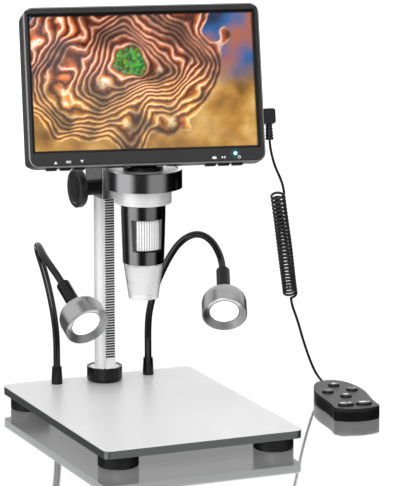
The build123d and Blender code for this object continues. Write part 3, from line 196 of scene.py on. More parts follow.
def wire(name, points, diameter, material):
    """A round wire along one NURBS spline, and the points of the spline's own line."""
    data = bpy.data.curves.new(name, "CURVE")
    data.dimensions = "3D"
    data.bevel_resolution = 4
    data.resolution_u = 4
    data.use_fill_caps = True
    spline = data.splines.new("NURBS")
    spline.points.add(len(points) - 1)
    for p, target in zip(spline.points, points):
        p.co = (*at(*target), 1.0)
    spline.order_u = 3
    spline.use_endpoint_u = True
    curve = bpy.data.objects.new(name + "_line", data)
    line = [tuple(v.co) for v in bpy.data.meshes.new_from_object(curve).vertices]
    data.bevel_depth = diameter / 2000
    tube = bpy.data.meshes.new_from_object(curve)
    bpy.data.objects.remove(curve)
    return mesh_object(name, tube, material, sharp=60), line


def lathe(profile, axis_frame):
    """A closed profile of (radius, height) pairs turned about a frame's Z, as design points and faces."""
    verts, faces = [], []
    count = len(profile)
    for i in range(LATHE_SEGMENTS):
        a = 2 * math.pi * i / LATHE_SEGMENTS
        verts += [axis_frame @ Vector((r * math.cos(a), r * math.sin(a), z)) for r, z in profile]
    for i in range(LATHE_SEGMENTS):
        j = (i + 1) % LATHE_SEGMENTS
        for k in range(count):
            m = (k + 1) % count
            faces.append((i * count + k, j * count + k, j * count + m, i * count + m))
    return verts, faces


def plates(outlines, face):
    """Thin raised plates on a frame's XY plane from lists of (x, y) corners, as design points and faces."""
    verts, faces = [], []
    for outline in outlines:
        n, first = len(outline), len(verts)
        verts += [face @ Vector((x, y, MARK_RAISED)) for x, y in outline]
        verts += [face @ Vector((x, y, MARK_SUNK)) for x, y in outline]
        faces.append(tuple(range(first, first + n)))
        faces += [(first + i, first + n + i, first + n + (i + 1) % n, first + (i + 1) % n) for i in range(n)]
    return verts, faces


def gathered(parts):
    """Several parts, each as points and faces, in one."""
    verts, faces = [], []
    for part_verts, part_faces in parts:
        faces += [tuple(i + len(verts) for i in face) for face in part_faces]
        verts += part_verts
    return verts, faces


# ---------------------------------------------------------------- node helpers
def put(tree, kind, settings=None, **inputs):
    """A new shader node. An input goes by its name, or by i and its number."""
    node = tree.nodes.new("ShaderNode" + kind)
    for key, value in (settings or {}).items():
        setattr(node, key, value)
    for key, value in inputs.items():
        socket = node.inputs[int(key[1:])] if key[1:].isdigit() else node.inputs[key.replace("_", " ")]
        if isinstance(value, bpy.types.NodeSocket):
            tree.links.new(value, socket)
        else:
            socket.default_value = value
    return node


def calc(tree, operation, a, b=0.0, c=0.0):
    return put(tree, "Math", {"operation": operation}, i0=a, i1=b, i2=c).outputs[0]


def times(tree, a, b):
    return calc(tree, "MULTIPLY", a, b)


def spread(tree, value, start, stop, to_start=0.0, to_stop=1.0, shape="LINEAR"):
    """Runs from to_start to to_stop as the value runs from start to stop, and stays at these beyond them."""
    return put(tree, "MapRange", {"interpolation_type": shape}, Value=value, From_Min=start, From_Max=stop,
               To_Min=to_start, To_Max=to_stop).outputs[0]


def vector(tree, operation, a, b=(0, 0, 0)):
    """The vector that a vector operation gives."""
    return put(tree, "VectorMath", {"operation": operation}, i0=a, i1=tuple(b)).outputs[0]


def measure(tree, operation, a, b=(0, 0, 0)):
    """The number that a vector operation gives."""
    return put(tree, "VectorMath", {"operation": operation}, i0=a, i1=tuple(b)).outputs[1]


def ramp(tree, value, stops, interpolation="LINEAR"):
    node = put(tree, "ValToRGB", i0=value)
    node.color_ramp.interpolation = interpolation
    elements = node.color_ramp.elements
    while len(elements) < len(stops):
        elements.new(0.5)
    for element, (position, colour) in zip(elements, stops):
        element.position = position
        element.color = (*colour, 1)
    return node.outputs[0]


def grey(level):
    return (level, level, level)


def noise(tree, place, scale, detail, stretch=(1, 1, 1)):
    if stretch != (1, 1, 1):
        place = put(tree, "Mapping", i0=place, Scale=stretch).outputs[0]
    return put(tree, "TexNoise", i0=place, Scale=scale, Detail=detail).outputs[0]


def blend_colour(tree, factor, a, b, mode="MIX"):
    return put(tree, "Mix", {"data_type": "RGBA", "blend_type": mode}, i0=factor, i6=a, i7=b).outputs[2]


def here(tree):
    """A point's place in its piece's own coordinates, which at rest are the row's metres."""
    return put(tree, "TexCoord").outputs["Object"]


def about(tree, place, origin, axis):
    """How far a point is along an axis, and how far off it: the coordinates of a turned or drilled part."""
    offset = vector(tree, "SUBTRACT", place, origin)
    along = measure(tree, "DOT_PRODUCT", offset, axis)
    length = measure(tree, "LENGTH", offset)
    square = calc(tree, "SUBTRACT", times(tree, length, length), times(tree, along, along))
    return along, calc(tree, "SQRT", calc(tree, "MAXIMUM", square, 0.0))


def facing(tree, axis):
    """The part of a face's own normal that points along an axis of its piece, which turns with the piece."""
    normal = put(tree, "VectorTransform",
                 {"vector_type": "NORMAL", "convert_from": "WORLD", "convert_to": "OBJECT"},
                 i0=put(tree, "NewGeometry").outputs["True Normal"]).outputs[0]
    return measure(tree, "DOT_PRODUCT", normal, axis)


def screen_place(tree, place):
    """Millimetres right and up from the middle of the picture, in the screen's plane."""
    offset = vector(tree, "SUBTRACT", place, at(*PICTURE_MIDDLE))
    return [times(tree, measure(tree, "DOT_PRODUCT", offset, axis), 1000.0) for axis in (ACROSS, UPWARDS)]


def within(tree, right, up, half_width, half_height, middle_up=0.0):
    """1 within an upright rectangle in the screen's plane."""
    return times(tree, calc(tree, "COMPARE", right, 0.0, half_width),
                 calc(tree, "COMPARE", up, middle_up, half_height))


def surface(name, colour, rough, metal, grain, stretch=(1, 1, 1), vary=0.12, bump=0.02, rough_vary=0.08,
            turned=None, **extra):
    """A material whose colour, roughness and bump all carry the fine grain of the real surface. Where turned
    gives an origin and an axis, the grain is the lathe's: fine rings about that axis."""
    material = bpy.data.materials.new(name)
    material.use_nodes = True
    tree = material.node_tree
    shader = tree.nodes["Principled BSDF"]
    place = here(tree)
    if turned:
        along, off = about(tree, place, *turned)
        fine = noise(tree, put(tree, "CombineXYZ", X=along, Y=off).outputs[0], grain, 4.0)
    else:
        fine = noise(tree, place, grain, 4.0, stretch)
    broad = noise(tree, place, 35.0, 2.0)
    dark = tuple(c * (1 - vary) for c in colour)
    light = tuple(min(c * (1 + vary) + 0.002, 1) for c in colour)
    tone = ramp(tree, fine, [(0.25, dark), (0.75, light)])
    cloud = ramp(tree, broad, [(0.3, grey(1 - vary * 0.6)), (0.7, grey(1.0))])
    tree.links.new(blend_colour(tree, 1.0, tone, cloud, "MULTIPLY"), shader.inputs["Base Color"])
    level = ramp(tree, fine, [(0.2, grey(max(rough - rough_vary, 0.02))),
                              (0.8, grey(min(rough + rough_vary, 1)))])
    tree.links.new(level, shader.inputs["Roughness"])
    if bump:
        raised = put(tree, "Bump", Strength=bump, Distance=0.0004, Height=fine)
        tree.links.new(raised.outputs[0], shader.inputs["Normal"])
    shader.inputs["Metallic"].default_value = metal
    for key, value in extra.items():
        shader.inputs[key.replace("_", " ")].default_value = value
    return material


def recolour(material, factor_of, colour):
    """Blends another colour over the one that a material has so far, where factor_of says so."""
    tree = material.node_tree
    base = tree.nodes["Principled BSDF"].inputs["Base Color"]
    so_far = base.links[0].from_socket
    tree.links.new(blend_colour(tree, factor_of(tree, here(tree)), so_far, (*colour, 1)), base)


def metal_by(material, factor_of, low, high):
    """Makes a material more metallic where factor_of says so."""
    tree = material.node_tree
    tree.links.new(spread(tree, factor_of(tree, here(tree)), 0.0, 1.0, low, high),
                   tree.nodes["Principled BSDF"].inputs["Metallic"])


# ---------------------------------------------------------------- light and backdrop
WORLD_FILL = 0.42
# From the object to the camera, in degrees about Z.
CAMERA_BEARING = -113.4
# Bright panels and dark flags stand round the set, as in a product studio; metal shows them. Each is a share
# of the way round, from straight behind the object as the photo sees it, and a brightness.
PANELS = ((0.0, 1.0), (0.025, 1.0), (0.06, 0.08), (0.10, 0.16), (0.15, 0.14), (0.20, 0.02), (0.25, 0.04),
          (0.295, 1.0), (0.38, 1.0), (0.45, 0.01), (0.52, 0.02), (0.57, 0.45), (0.66, 0.45), (0.72, 0.0),
          (0.94, 0.0), (0.975, 1.0), (1.0, 1.0))
WHITE = (1, 1, 1, 1)
BLACK = grey(0.0)


def light_world():
    """Glossy rays see the panels low down and white above, camera and transmission rays see white, and the
    others see an even fill."""
    world = bpy.data.worlds.new("studio")
    bpy.context.scene.world = world
    world.use_nodes = True
    sky = world.node_tree
    sky.nodes.clear()
    ray = put(sky, "LightPath").outputs
    seen = calc(sky, "MAXIMUM", ray["Is Camera Ray"], ray["Is Transmission Ray"])
    toward = put(sky, "SeparateXYZ", i0=put(sky, "TexCoord").outputs["Generated"]).outputs
    turn = calc(sky, "DIVIDE", calc(sky, "ARCTAN2", toward[1], toward[0]), 2 * math.pi)
    turn = calc(sky, "FRACT", calc(sky, "ADD", turn, 1.0 - (CAMERA_BEARING - 180) / 360))
    panels = ramp(sky, turn, [(share, grey(level)) for share, level in PANELS], "EASE")
    upward = ramp(sky, toward[2], [(0.0, BLACK), (0.03, BLACK), (0.13, grey(1.0))])
    panels = blend_colour(sky, upward, panels, WHITE)
    fill = blend_colour(sky, ray["Is Glossy Ray"], (*grey(WORLD_FILL), 1), panels)
    background = put(sky, "Background", Color=blend_colour(sky, seen, fill, WHITE), Strength=1.0)
    sky.links.new(background.outputs[0], put(sky, "OutputWorld").inputs[0])


def sun(name, place, strength, softness, glossy=False):
    """A sun that shines from a design point to the middle of the plate."""
    data = bpy.data.lights.new(name, "SUN")
    data.energy, data.angle = strength, math.radians(softness)
    lamp = bpy.data.objects.new(name, data)
    lamp.location = at(*place)
    lamp.rotation_euler = (at(0, 0, 0) - lamp.location).to_track_quat("-Z", "Y").to_euler()
    lamp.visible_glossy = glossy
    bpy.context.scene.collection.objects.link(lamp)


light_world()
sun("key_sun", (-1400, -1800, 1300), 1.80, 40, glossy=True)
sun("top_sun", (300, 200, 1500), 0.85, 60)

# ---------------------------------------------------------------- floor
FLOOR_SIDE, FLOOR_FRONT, FLOOR_BACK, FLOOR_Z = 4000, -4000, 9000, -0.15
# Away from the object, between these two distances in metres, the floor fades into the white backdrop.
FADE_START, FADE_END = 0.6, 1.4
FLOOR_GLOW = 0.10


def far_off(tree, place):
    """0 on the floor near the object and 1 where it is far."""
    return spread(tree, measure(tree, "LENGTH", place), FADE_START, FADE_END)


floor_look = surface("floor_look", grey(0.95), 0.06, 0.90, 60.0, vary=0.01, bump=0.0, rough_vary=0.01,
                     IOR=1.6, Emission_Color=WHITE)
recolour(floor_look, far_off, BLACK)
tree = floor_look.node_tree
glow = spread(tree, far_off(tree, here(tree)), 0.0, 1.0, FLOOR_GLOW, 1.0)
tree.links.new(times(tree, put(tree, "LightPath").outputs["Is Camera Ray"], glow),
               tree.nodes["Principled BSDF"].inputs["Emission Strength"])
floor = build("floor", [(-FLOOR_SIDE, FLOOR_FRONT, FLOOR_Z), (FLOOR_SIDE, FLOOR_FRONT, FLOOR_Z),
                        (FLOOR_SIDE, FLOOR_BACK, FLOOR_Z), (-FLOOR_SIDE, FLOOR_BACK, FLOOR_Z)],
              [(0, 1, 2, 3)], floor_look)
floor.visible_glossy = False

# ---------------------------------------------------------------- materials
plate_look = surface("plate_look", grey(0.86), 0.36, 0.15, 1400, (0.03, 1, 1), vary=0.02, bump=0.01,
                     rough_vary=0.04)
chrome_look = surface("chrome_look", (0.86, 0.86, 0.87), 0.15, 1.0, 400, (30, 30, 0.4), vary=0.05, bump=0.006)
column_look = surface("column_look", grey(0.92), 0.25, 0.10, 1500, (1, 1, 0.004), vary=0.10, bump=0.01)
steel_look = surface("steel_look", grey(0.55), 0.33, 1.0, 700, (1, 1, 12), vary=0.15)
rack_look = surface("rack_look", grey(0.90), 0.34, 0.05, 500, (12, 1, 1), vary=0.10)
turned_look = surface("turned_look", grey(0.93), 0.30, 0.35, 2600, vary=0.06, bump=0.015, turned=RING_AXIS)
flange_look = surface("flange_look", grey(0.80), 0.28, 0.6, 2200, vary=0.10, bump=0.02, turned=COLUMN_AXIS)
black_gloss = surface("black_gloss", grey(0.003), 0.15, 0.0, 600, vary=0.3, bump=0.004, rough_vary=0.04,
                      Specular_IOR_Level=0.25)
black_satin = surface("black_satin", (0.008, 0.008, 0.009), 0.36, 0.0, 1500, vary=0.3, bump=0.02,
                      Specular_IOR_Level=0.2)
knob_look = surface("knob_look", grey(0.026), 0.26, 0.0, 1800, vary=0.25, bump=0.02, turned=PINION_AXIS,
                    Specular_IOR_Level=0.35)
barrel_look = surface("barrel_look", (0.31, 0.31, 0.315), 0.17, 1.0, 1400, (1, 1, 6), vary=0.05, bump=0.004,
                      rough_vary=0.02)
ring_look = surface("ring_look", (0.46, 0.46, 0.47), 0.18, 1.0, 900, (1, 1, 5), vary=0.06, bump=0.005,
                    rough_vary=0.03)
cap_look = surface("cap_look", grey(0.008), 0.16, 0.0, 1800, vary=0.15, bump=0.005, turned=PINION_AXIS,
                   Specular_IOR_Level=0.5)
rubber_look = surface("rubber_look", grey(0.008), 0.42, 0.0, 1800, vary=0.35, bump=0.03,
                      Specular_IOR_Level=0.4)
wire_look = surface("wire_look", grey(0.008), 0.36, 0.0, 2500, vary=0.4, bump=0.02, Specular_IOR_Level=0.35)
neck_look = surface("neck_look", grey(0.003), 0.12, 0.0, 2500, vary=0.4, bump=0.01, Specular_IOR_Level=0.45)
roller_look = surface("roller_look", grey(0.93), 0.34, 0.05, 1500, (1, 1, 8), vary=0.05, bump=0.01)
case_look = surface("case_look", (0.019, 0.019, 0.020), 0.40, 0.0, 3200, vary=0.18, bump=0.04,
                    Specular_IOR_Level=0.25)
rear_look = surface("rear_look", (0.034, 0.034, 0.035), 0.48, 0.0, 2600, vary=0.2, bump=0.08,
                    Specular_IOR_Level=0.35)
board_look = surface("board_look", (0.02, 0.13, 0.06), 0.45, 0.0, 600, vary=0.3)
white_board = surface("white_board", (0.80, 0.80, 0.78), 0.40, 0.0, 900, vary=0.06)
lid_look = surface("lid_look", grey(0.070), 0.46, 0.0, 2400, vary=0.22, bump=0.05, Specular_IOR_Level=0.35)
shell_look = surface("shell_look", grey(0.006), 0.30, 0.0, 1800, vary=0.3, bump=0.01,
                     Specular_IOR_Level=0.06)
button_look = surface("button_look", grey(0.055), 0.36, 0.0, 1800, vary=0.2, bump=0.02,
                      Specular_IOR_Level=0.35)
guard_look = surface("guard_look", grey(1.0), 0.26, 0.0, 500, vary=0.01, bump=0.0, rough_vary=0.02, IOR=1.25,
                     Transmission_Weight=0.82)
optic_look = surface("optic_look", (0.02, 0.02, 0.04), 0.04, 0.0, 300, vary=0.2, bump=0.0, rough_vary=0.01,
                     Coat_Weight=1.0, Coat_Roughness=0.03)
glass_look = surface("glass_look", grey(0.98), 0.03, 0.0, 500, vary=0.01, bump=0.0, rough_vary=0.01, IOR=1.10,
                     Transmission_Weight=1.0)
mark_look = surface("mark_look", grey(0.92), 0.45, 0.0, 2500, vary=0.05, bump=0.0)

# How far a face's normal points up: beyond LEVEL the face counts as level, and below UPRIGHT as upright.
LEVEL, UPRIGHT = 0.75, 0.55


def edge_faces(tree, place):
    """1 on upright faces and 0 on level ones."""
    return spread(tree, calc(tree, "ABSOLUTE", facing(tree, UP)), LEVEL, UPRIGHT)


def level_faces(tree, place):
    """1 on level faces and 0 on upright ones."""
    return calc(tree, "SUBTRACT", 1.0, edge_faces(tree, place))


def not_upper(tree, place):
    """1 on faces that stand upright or look down."""
    return spread(tree, facing(tree, UP), LEVEL, UPRIGHT)


def beneath(tree, place):
    """1 on faces that look straight down."""
    return spread(tree, facing(tree, UP), -0.75, -0.95)


def tooth_gap_shade(tree, place):
    """Painted shade: 1 between the rack's teeth, whose flanks and floors look up, down or forwards, and 0 on
    its sides.
    """
    tips, floors = at(0, 70.9, 0)[1], at(0, 71.2, 0)[1]
    depth = spread(tree, put(tree, "SeparateXYZ", i0=place).outputs[1], tips, floors)
    return times(tree, depth, calc(tree, "LESS_THAN", calc(tree, "ABSOLUTE", facing(tree, (1, 0, 0))), 0.5))


def grazing_shade(tree, place):
    """Painted shade: 1 where a clear wall is seen edgewise, along its own thickness, and its colour is greyed
    there.
    """
    return spread(tree, put(tree, "LayerWeight", Blend=0.5).outputs["Facing"], 0.60, 0.78)


def dish(tree, place):
    """1 inside the dish in a knob's face, and along the knob behind it."""
    return spread(tree, about(tree, place, *PINION_AXIS)[1], 0.0102, 0.0092)


def grooves(tree, place):
    """Painted shade: 1 in the roller's grooves."""
    return spread(tree, about(tree, place, *RING_AXIS)[1], 0.01280, 0.01262)


def halo(tree, place):
    """The power light's glow on the bezel round it."""
    light_at = at(*(SCREEN @ Vector((60.0, BEZEL_FACE, -1.2))))
    return spread(tree, measure(tree, "DISTANCE", place, light_at), 0.0042, 0.0016, 0.0, 0.9, "SMOOTHSTEP")


# How far a face of the bezel looks forwards or back: beyond FLAT it counts as doing so straight, and below
# SIDEWAYS as a side wall.
FLAT, SIDEWAYS = 0.93, 0.25


def inside_bezel(tree, place):
    """1 within the middle of the bezel's frame, and 0 outside it."""
    return within(tree, *screen_place(tree, place), 80.0, 50.0)


def rim_highlight(tree, place):
    """Painted highlight: 1 on the bezel's outer rounding."""
    out = calc(tree, "ABSOLUTE", facing(tree, BACKWARDS))
    turned = times(tree, calc(tree, "GREATER_THAN", out, SIDEWAYS), calc(tree, "LESS_THAN", out, FLAT))
    return times(tree, turned, calc(tree, "SUBTRACT", 1.0, inside_bezel(tree, place)))


def inner_bevel(tree, place):
    """1 on the bezel's slopes and walls round the picture."""
    out = calc(tree, "ABSOLUTE", facing(tree, BACKWARDS))
    return times(tree, calc(tree, "LESS_THAN", out, FLAT), inside_bezel(tree, place))


def vent_slot_shade(tree, place):
    """Painted shade of vent slots: rows of dark stripes in the upper part of the rear cover, where no holes
    are cut.
    """
    right, up = screen_place(tree, place)
    slot = calc(tree, "COMPARE", calc(tree, "FRACT", calc(tree, "DIVIDE", right, 4.0)), 0.5, 0.19)
    behind = calc(tree, "GREATER_THAN", about(tree, place, at(*PIN), BACKWARDS)[0], 0.0038)
    return times(tree, times(tree, slot, within(tree, right, up, 34.0, 8.0, 24.0)), behind)


# Painted shade: the plate's edges and underside are coloured darker than its upper face, the underside
# darkest. The edges and underside are also more like bare metal.
recolour(plate_look, not_upper, (0.23, 0.24, 0.24))
recolour(plate_look, beneath, grey(0.08))
metal_by(plate_look, not_upper, 0.15, 0.95)
# Painted highlight: the ring holder's level faces are coloured near white, lighter than its sides.
recolour(ring_look, level_faces, grey(0.92))
# Painted shade between the rack's teeth.
recolour(rack_look, tooth_gap_shade, grey(0.014))
recolour(lid_look, edge_faces, grey(0.006))
recolour(button_look, edge_faces, grey(0.006))
# Painted shade along the clear guard's walls where they are seen edgewise.
recolour(guard_look, grazing_shade, (0.10, 0.10, 0.11))
recolour(knob_look, dish, grey(0.008))
# Painted shade in the roller's grooves.
recolour(roller_look, grooves, grey(0.20))
# Painted highlight: the bezel's outer rounding is coloured light grey and made more metallic. Its inner
# bevel, round the picture, is coloured darker.
recolour(case_look, halo, (0.008, 0.075, 0.085))
recolour(case_look, rim_highlight, grey(0.34))
recolour(case_look, inner_bevel, grey(0.003))
metal_by(case_look, rim_highlight, 0.0, 0.75)
# Painted shade where vent slots would be.
recolour(rear_look, vent_slot_shade, grey(0.002))

# ---------------------------------------------------------------- the screen's picture
# In millimetres: from band to band, from the stone's middle over its core's and its own edge, and half the
# picture's width and height.
BAND_WIDTH = 4.3
CORE_EDGE, STONE_EDGE = (9.4, 8.2), (58.0, 59.4)
PICTURE_HALF = (76.2, 45.7)
COPPER = [(0.0, (0.020, 0.004, 0.003)), (0.14, (0.20, 0.030, 0.008)), (0.38, (0.66, 0.15, 0.030)),
          (0.52, (1.0, 0.56, 0.32)), (0.60, (1.0, 0.84, 0.72)), (0.70, (0.62, 0.13, 0.03)),
          (0.90, (0.09, 0.014, 0.006)), (1.0, (0.020, 0.004, 0.003))]
AMBER = [(0.0, (0.05, 0.012, 0.002)), (0.16, (0.36, 0.10, 0.010)), (0.40, (0.84, 0.34, 0.035)),
         (0.52, (1.0, 0.68, 0.20)), (0.60, (1.0, 0.86, 0.52)), (0.72, (0.74, 0.26, 0.02)),
         (0.92, (0.16, 0.04, 0.004)), (1.0, (0.05, 0.012, 0.002))]
OCHRE_GROUND = [(0.30, (0.12, 0.04, 0.006)), (0.50, (0.52, 0.25, 0.035)), (0.68, (0.80, 0.50, 0.15))]
BLUE_BACK = [(0.36, (0.005, 0.02, 0.08)), (0.48, (0.01, 0.12, 0.36)), (0.60, (0.46, 0.13, 0.05))]
GREEN_CORE = [(0.1, (0.13, 0.42, 0.06)), (0.8, (0.01, 0.07, 0.01))]


def stone_picture():
    """A cut and polished banded stone under the lens, in copper, orange and cream, with a green core, ochre
    ground below it and blue behind it."""
    material = bpy.data.materials.new("picture_look")
    material.use_nodes = True
    tree = material.node_tree
    shader = tree.nodes["Principled BSDF"]
    right, up = screen_place(tree, here(tree))
    spot = put(tree, "CombineXYZ", X=right, Y=up).outputs[0]

    def sway(scale, detail, reach):
        """Noise about zero, in millimetres."""
        return times(tree, calc(tree, "SUBTRACT", noise(tree, spot, scale, detail), 0.5), reach)

    warp = sway(0.024, 1.5, 62.0)
    ripple = sway(0.11, 3.0, 5.5)
    squeezed = put(tree, "Mapping", i0=spot, Scale=(0.80, 1.05, 1)).outputs[0]
    centre = measure(tree, "DISTANCE", squeezed, (-13.0, 13.0, 0))
    depth = calc(tree, "ADD", centre, calc(tree, "ADD", warp, ripple))
    wave = calc(tree, "FRACT", calc(tree, "DIVIDE", depth, BAND_WIDTH))
    lower_part = spread(tree, calc(tree, "ADD", up, times(tree, warp, 0.5)), 10.0, -16.0)
    bands = blend_colour(tree, lower_part, ramp(tree, wave, COPPER), ramp(tree, wave, AMBER))
    shine = ramp(tree, noise(tree, spot, 0.045, 2.0), [(0.38, grey(0.26)), (0.62, grey(1.40))])
    bands = blend_colour(tree, 1.0, bands, shine, "MULTIPLY")
    ground = ramp(tree, noise(tree, spot, 0.035, 3.0), OCHRE_GROUND)
    back = ramp(tree, noise(tree, vector(tree, "ADD", spot, (300, 90, 0)), 0.030, 1.0), BLUE_BACK)
    outside = blend_colour(tree, spread(tree, up, -6.0, 14.0), ground, back)
    grains = put(tree, "TexVoronoi", {"voronoi_dimensions": "2D"}, Vector=spot, Scale=0.42).outputs
    core = blend_colour(tree, 1.0, ramp(tree, grains["Distance"], GREEN_CORE), grains["Color"], "SOFT_LIGHT")
    stone = blend_colour(tree, spread(tree, depth, *STONE_EDGE), bands, outside)
    stone = blend_colour(tree, spread(tree, depth, *CORE_EDGE), stone, core)
    lit = within(tree, right, up, *PICTURE_HALF)
    shown = blend_colour(tree, lit, (*grey(0.002), 1), stone)
    tree.links.new(shown, shader.inputs["Emission Color"])
    shader.inputs["Emission Strength"].default_value = 1.0
    shader.inputs["Base Color"].default_value = (*grey(0.01), 1)
    shader.inputs["Roughness"].default_value = 0.4
    return material


picture_look = stone_picture()
light_look = surface("light_look", (0.55, 0.90, 0.92), 0.3, 0.0, 1500, vary=0.04, bump=0.0,
                     Emission_Color=(0.35, 0.85, 0.90, 1), Emission_Strength=0.42)
lens_look = surface("lens_look", grey(0.95), 0.3, 0.0, 1500, vary=0.02, bump=0.01, Emission_Color=WHITE,
                    Emission_Strength=1.2)

LOOKS = {
    plate_look: ("base_plate",),
    chrome_look: ("carriage_block",),
    column_look: ("column",),
    rack_look: ("rack",),
    steel_look: ("foot_screws", "column_bolt", "arm_screws", "friction_screw", "case_screws", "hinge_pin",
                 "pinion_shaft"),
    turned_look: ("head_collar",),
    flange_look: ("column_flange",),
    black_gloss: ("column_collar", "lamp_sockets", "lamp_collar_left", "lamp_collar_right", "lens_cell",
                  "neck"),
    barrel_look: ("barrel",),
    black_satin: ("shaft_bearings", "remote_plug", "up_key", "menu_key", "down_key", "photo_key", "mode_key",
                  "power_key"),
    knob_look: ("focus_knobs",),
    ring_look: ("ring_holder",),
    button_look: ("remote_up", "remote_left", "remote_right", "remote_down", "remote_camera",
                  "remote_record"),
    case_look: ("screen_bezel",),
    rear_look: ("rear_cover",),
    board_look: ("sensor_board", "main_board", "remote_board"),
    white_board: ("led_board",),
    lid_look: ("remote_top",),
    shell_look: ("remote_bottom",),
    guard_look: ("light_guard",),
    optic_look: ("lens_glass",),
    glass_look: ("screen_glass",),
    picture_look: ("lcd_panel",),
    light_look: ("power_light",),
    lens_look: ("lamp_lens_left", "lamp_lens_right"),
}
for side, (lens, aim) in LAMPS.items():
    look = surface(f"lamp_look_{side}", (0.44, 0.44, 0.445), 0.30, 0.98, 1900, vary=0.12, bump=0.012,
                   rough_vary=0.04, turned=(at(*lens), aim))
    LOOKS[look] = (f"lamp_housing_{side}",)
for look, names in LOOKS.items():
    for name in names:
        mesh = NODES[name].data
        mesh.materials.clear()
        mesh.materials.append(look)
        mesh.polygons.foreach_set("use_smooth", [True] * len(mesh.polygons))

# ---------------------------------------------------------------- ribbed feet
FOOT_X, FOOT_Y = 56.5, 83.5
FOOT_R, FOOT_GROOVE_R, FOOT_EDGE_R, FOOT_BORE_R = 13.75, 13.3, 12.95, 3.9
FOOT_H = 9.0
FOOT_GROOVES, FIRST_GROOVE, GROOVE_PITCH = 6, 1.35, 1.15

foot_profile = [(FOOT_BORE_R, 0.0), (FOOT_EDGE_R, 0.0), (FOOT_R, 0.8)]
for i in range(FOOT_GROOVES):
    z = FIRST_GROOVE + GROOVE_PITCH * i
    foot_profile += [(FOOT_R, z), (FOOT_GROOVE_R, z + 0.16), (FOOT_GROOVE_R, z + 0.42), (FOOT_R, z + 0.58)]
foot_profile += [(FOOT_R, 8.2), (FOOT_EDGE_R, FOOT_H), (FOOT_BORE_R, FOOT_H)]
verts, faces = gathered(lathe(foot_profile, Matrix.Translation((x, y, 0)))
                        for x in (-FOOT_X, FOOT_X) for y in (-FOOT_Y, FOOT_Y))
feet = build("ribbed_feet", verts, faces, rubber_look, sharp=30)
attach(feet, "stand")
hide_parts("feet")

# ---------------------------------------------------------------- ribbed roller
# The roller's lands are broad and its grooves narrow; only the front shows in the barrel's window. GROOVE is
# how deep the points of one land and one groove lie. ROLLER_RINGS are heights and radii round the section.
GROOVE = (0.0, 0.0, 0.0, 0.03, 0.42, 0.03)
ROUND = 44 * len(GROOVE)
ROLLER_BORE_R = 9.7
ROLLER_RINGS = ((125.3, 12.6), (125.7, 12.9), (146.1, 12.9), (146.5, 12.6), (146.5, ROLLER_BORE_R),
                (125.3, ROLLER_BORE_R))

verts, faces = [], []
for z, ring_r in ROLLER_RINGS:
    for i in range(ROUND):
        a = 2 * math.pi * i / ROUND
        r = ring_r - (GROOVE[i % len(GROOVE)] if ring_r > ROLLER_BORE_R else 0.0)
        verts.append(Vector((r * math.cos(a), HEAD_Y + r * math.sin(a), z)))
for level in range(len(ROLLER_RINGS)):
    for i in range(ROUND):
        j, above = (i + 1) % ROUND, (level + 1) % len(ROLLER_RINGS)
        faces.append((level * ROUND + i, level * ROUND + j, above * ROUND + j, above * ROUND + i))
roller = build("ribbed_roller", verts, faces, roller_look, sharp=25)
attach(roller, "roller")
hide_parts("focus_ring")

# ---------------------------------------------------------------- knob caps
# A low domed cap lies in each knob's dish: radii, and heights along the pinion's axis.
CAP = [(0.0, 27.6), (0.0, 28.35), (6.5, 28.3), (8.2, 28.15), (9.3, 27.95), (10.0, 27.65)]
verts, faces = gathered(lathe(CAP, Matrix.Translation(PINION) @ Matrix.Rotation(turn * math.pi / 2, 4, "Y"))
                        for turn in (-1, 1))
caps = build("knob_caps", verts, faces, cap_look, sharp=50)
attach(caps, "pinion")


# ---------------------------------------------------------------- marks beside the keys and on the remote
def arc(radius, start, stop, width):
    """The outline of a part of a ring between two angles in degrees."""
    angles = [math.radians(start + (stop - start) * i / MARK_STEPS) for i in range(MARK_STEPS + 1)]
    outer = [(radius * math.cos(angle), radius * math.sin(angle)) for angle in angles]
    inner = [(x * (1 - width / radius), y * (1 - width / radius)) for x, y in reversed(outer)]
    return outer + inner


def bar(x0, x1, y0, y1):
    return [(x0, y0), (x1, y0), (x1, y1), (x0, y1)]


def disc(radius):
    angles = [2 * math.pi * i / MARK_STEPS for i in range(MARK_STEPS)]
    return [(radius * math.cos(angle), radius * math.sin(angle)) for angle in angles]


def scaled(outlines, factor, dx=0.0, dy=0.0):
    return [[(x * factor + dx, y * factor + dy) for x, y in outline] for outline in outlines]


UP_MARK = [[(-0.95, -0.7), (0.95, -0.7), (0, 0.85)]]
DOWN_MARK = [[(0.95, 0.7), (-0.95, 0.7), (0, -0.85)]]
MENU_MARK = [bar(-1.35, 1.35, y - 0.14, y + 0.14) for y in (-0.45, 0.0, 0.45)]
CAMERA_MARK = [bar(-1.15, 1.15, -0.75, 0.45), bar(-0.4, 0.4, 0.45, 0.8)]
MODE_MARK = [[(-1.0, -0.65), (0.1, 0.0), (-1.0, 0.65)], bar(0.35, 0.65, -0.65, 0.65),
             bar(0.85, 1.1, -0.65, 0.65)]
POWER_MARK = [arc(0.85, 125, 415, 0.26), bar(-0.14, 0.14, 0.1, 1.0)]
LENS_MARK = [arc(1.0, 0, 359.9, 0.32), [(0.62, -0.85), (0.85, -0.62), (1.65, -1.42), (1.42, -1.65)]]
MINUS_MARK = [bar(-3.0, -1.6, -0.18, 0.18)]
PLUS_MARK = [bar(-3.0, -1.6, -0.18, 0.18), bar(-2.48, -2.12, -0.7, 0.7)]
FILM_MARK = [bar(-1.9, 0.9, -0.9, 0.9), [(1.1, 0.0), (2.1, -0.8), (2.1, 0.8)]]

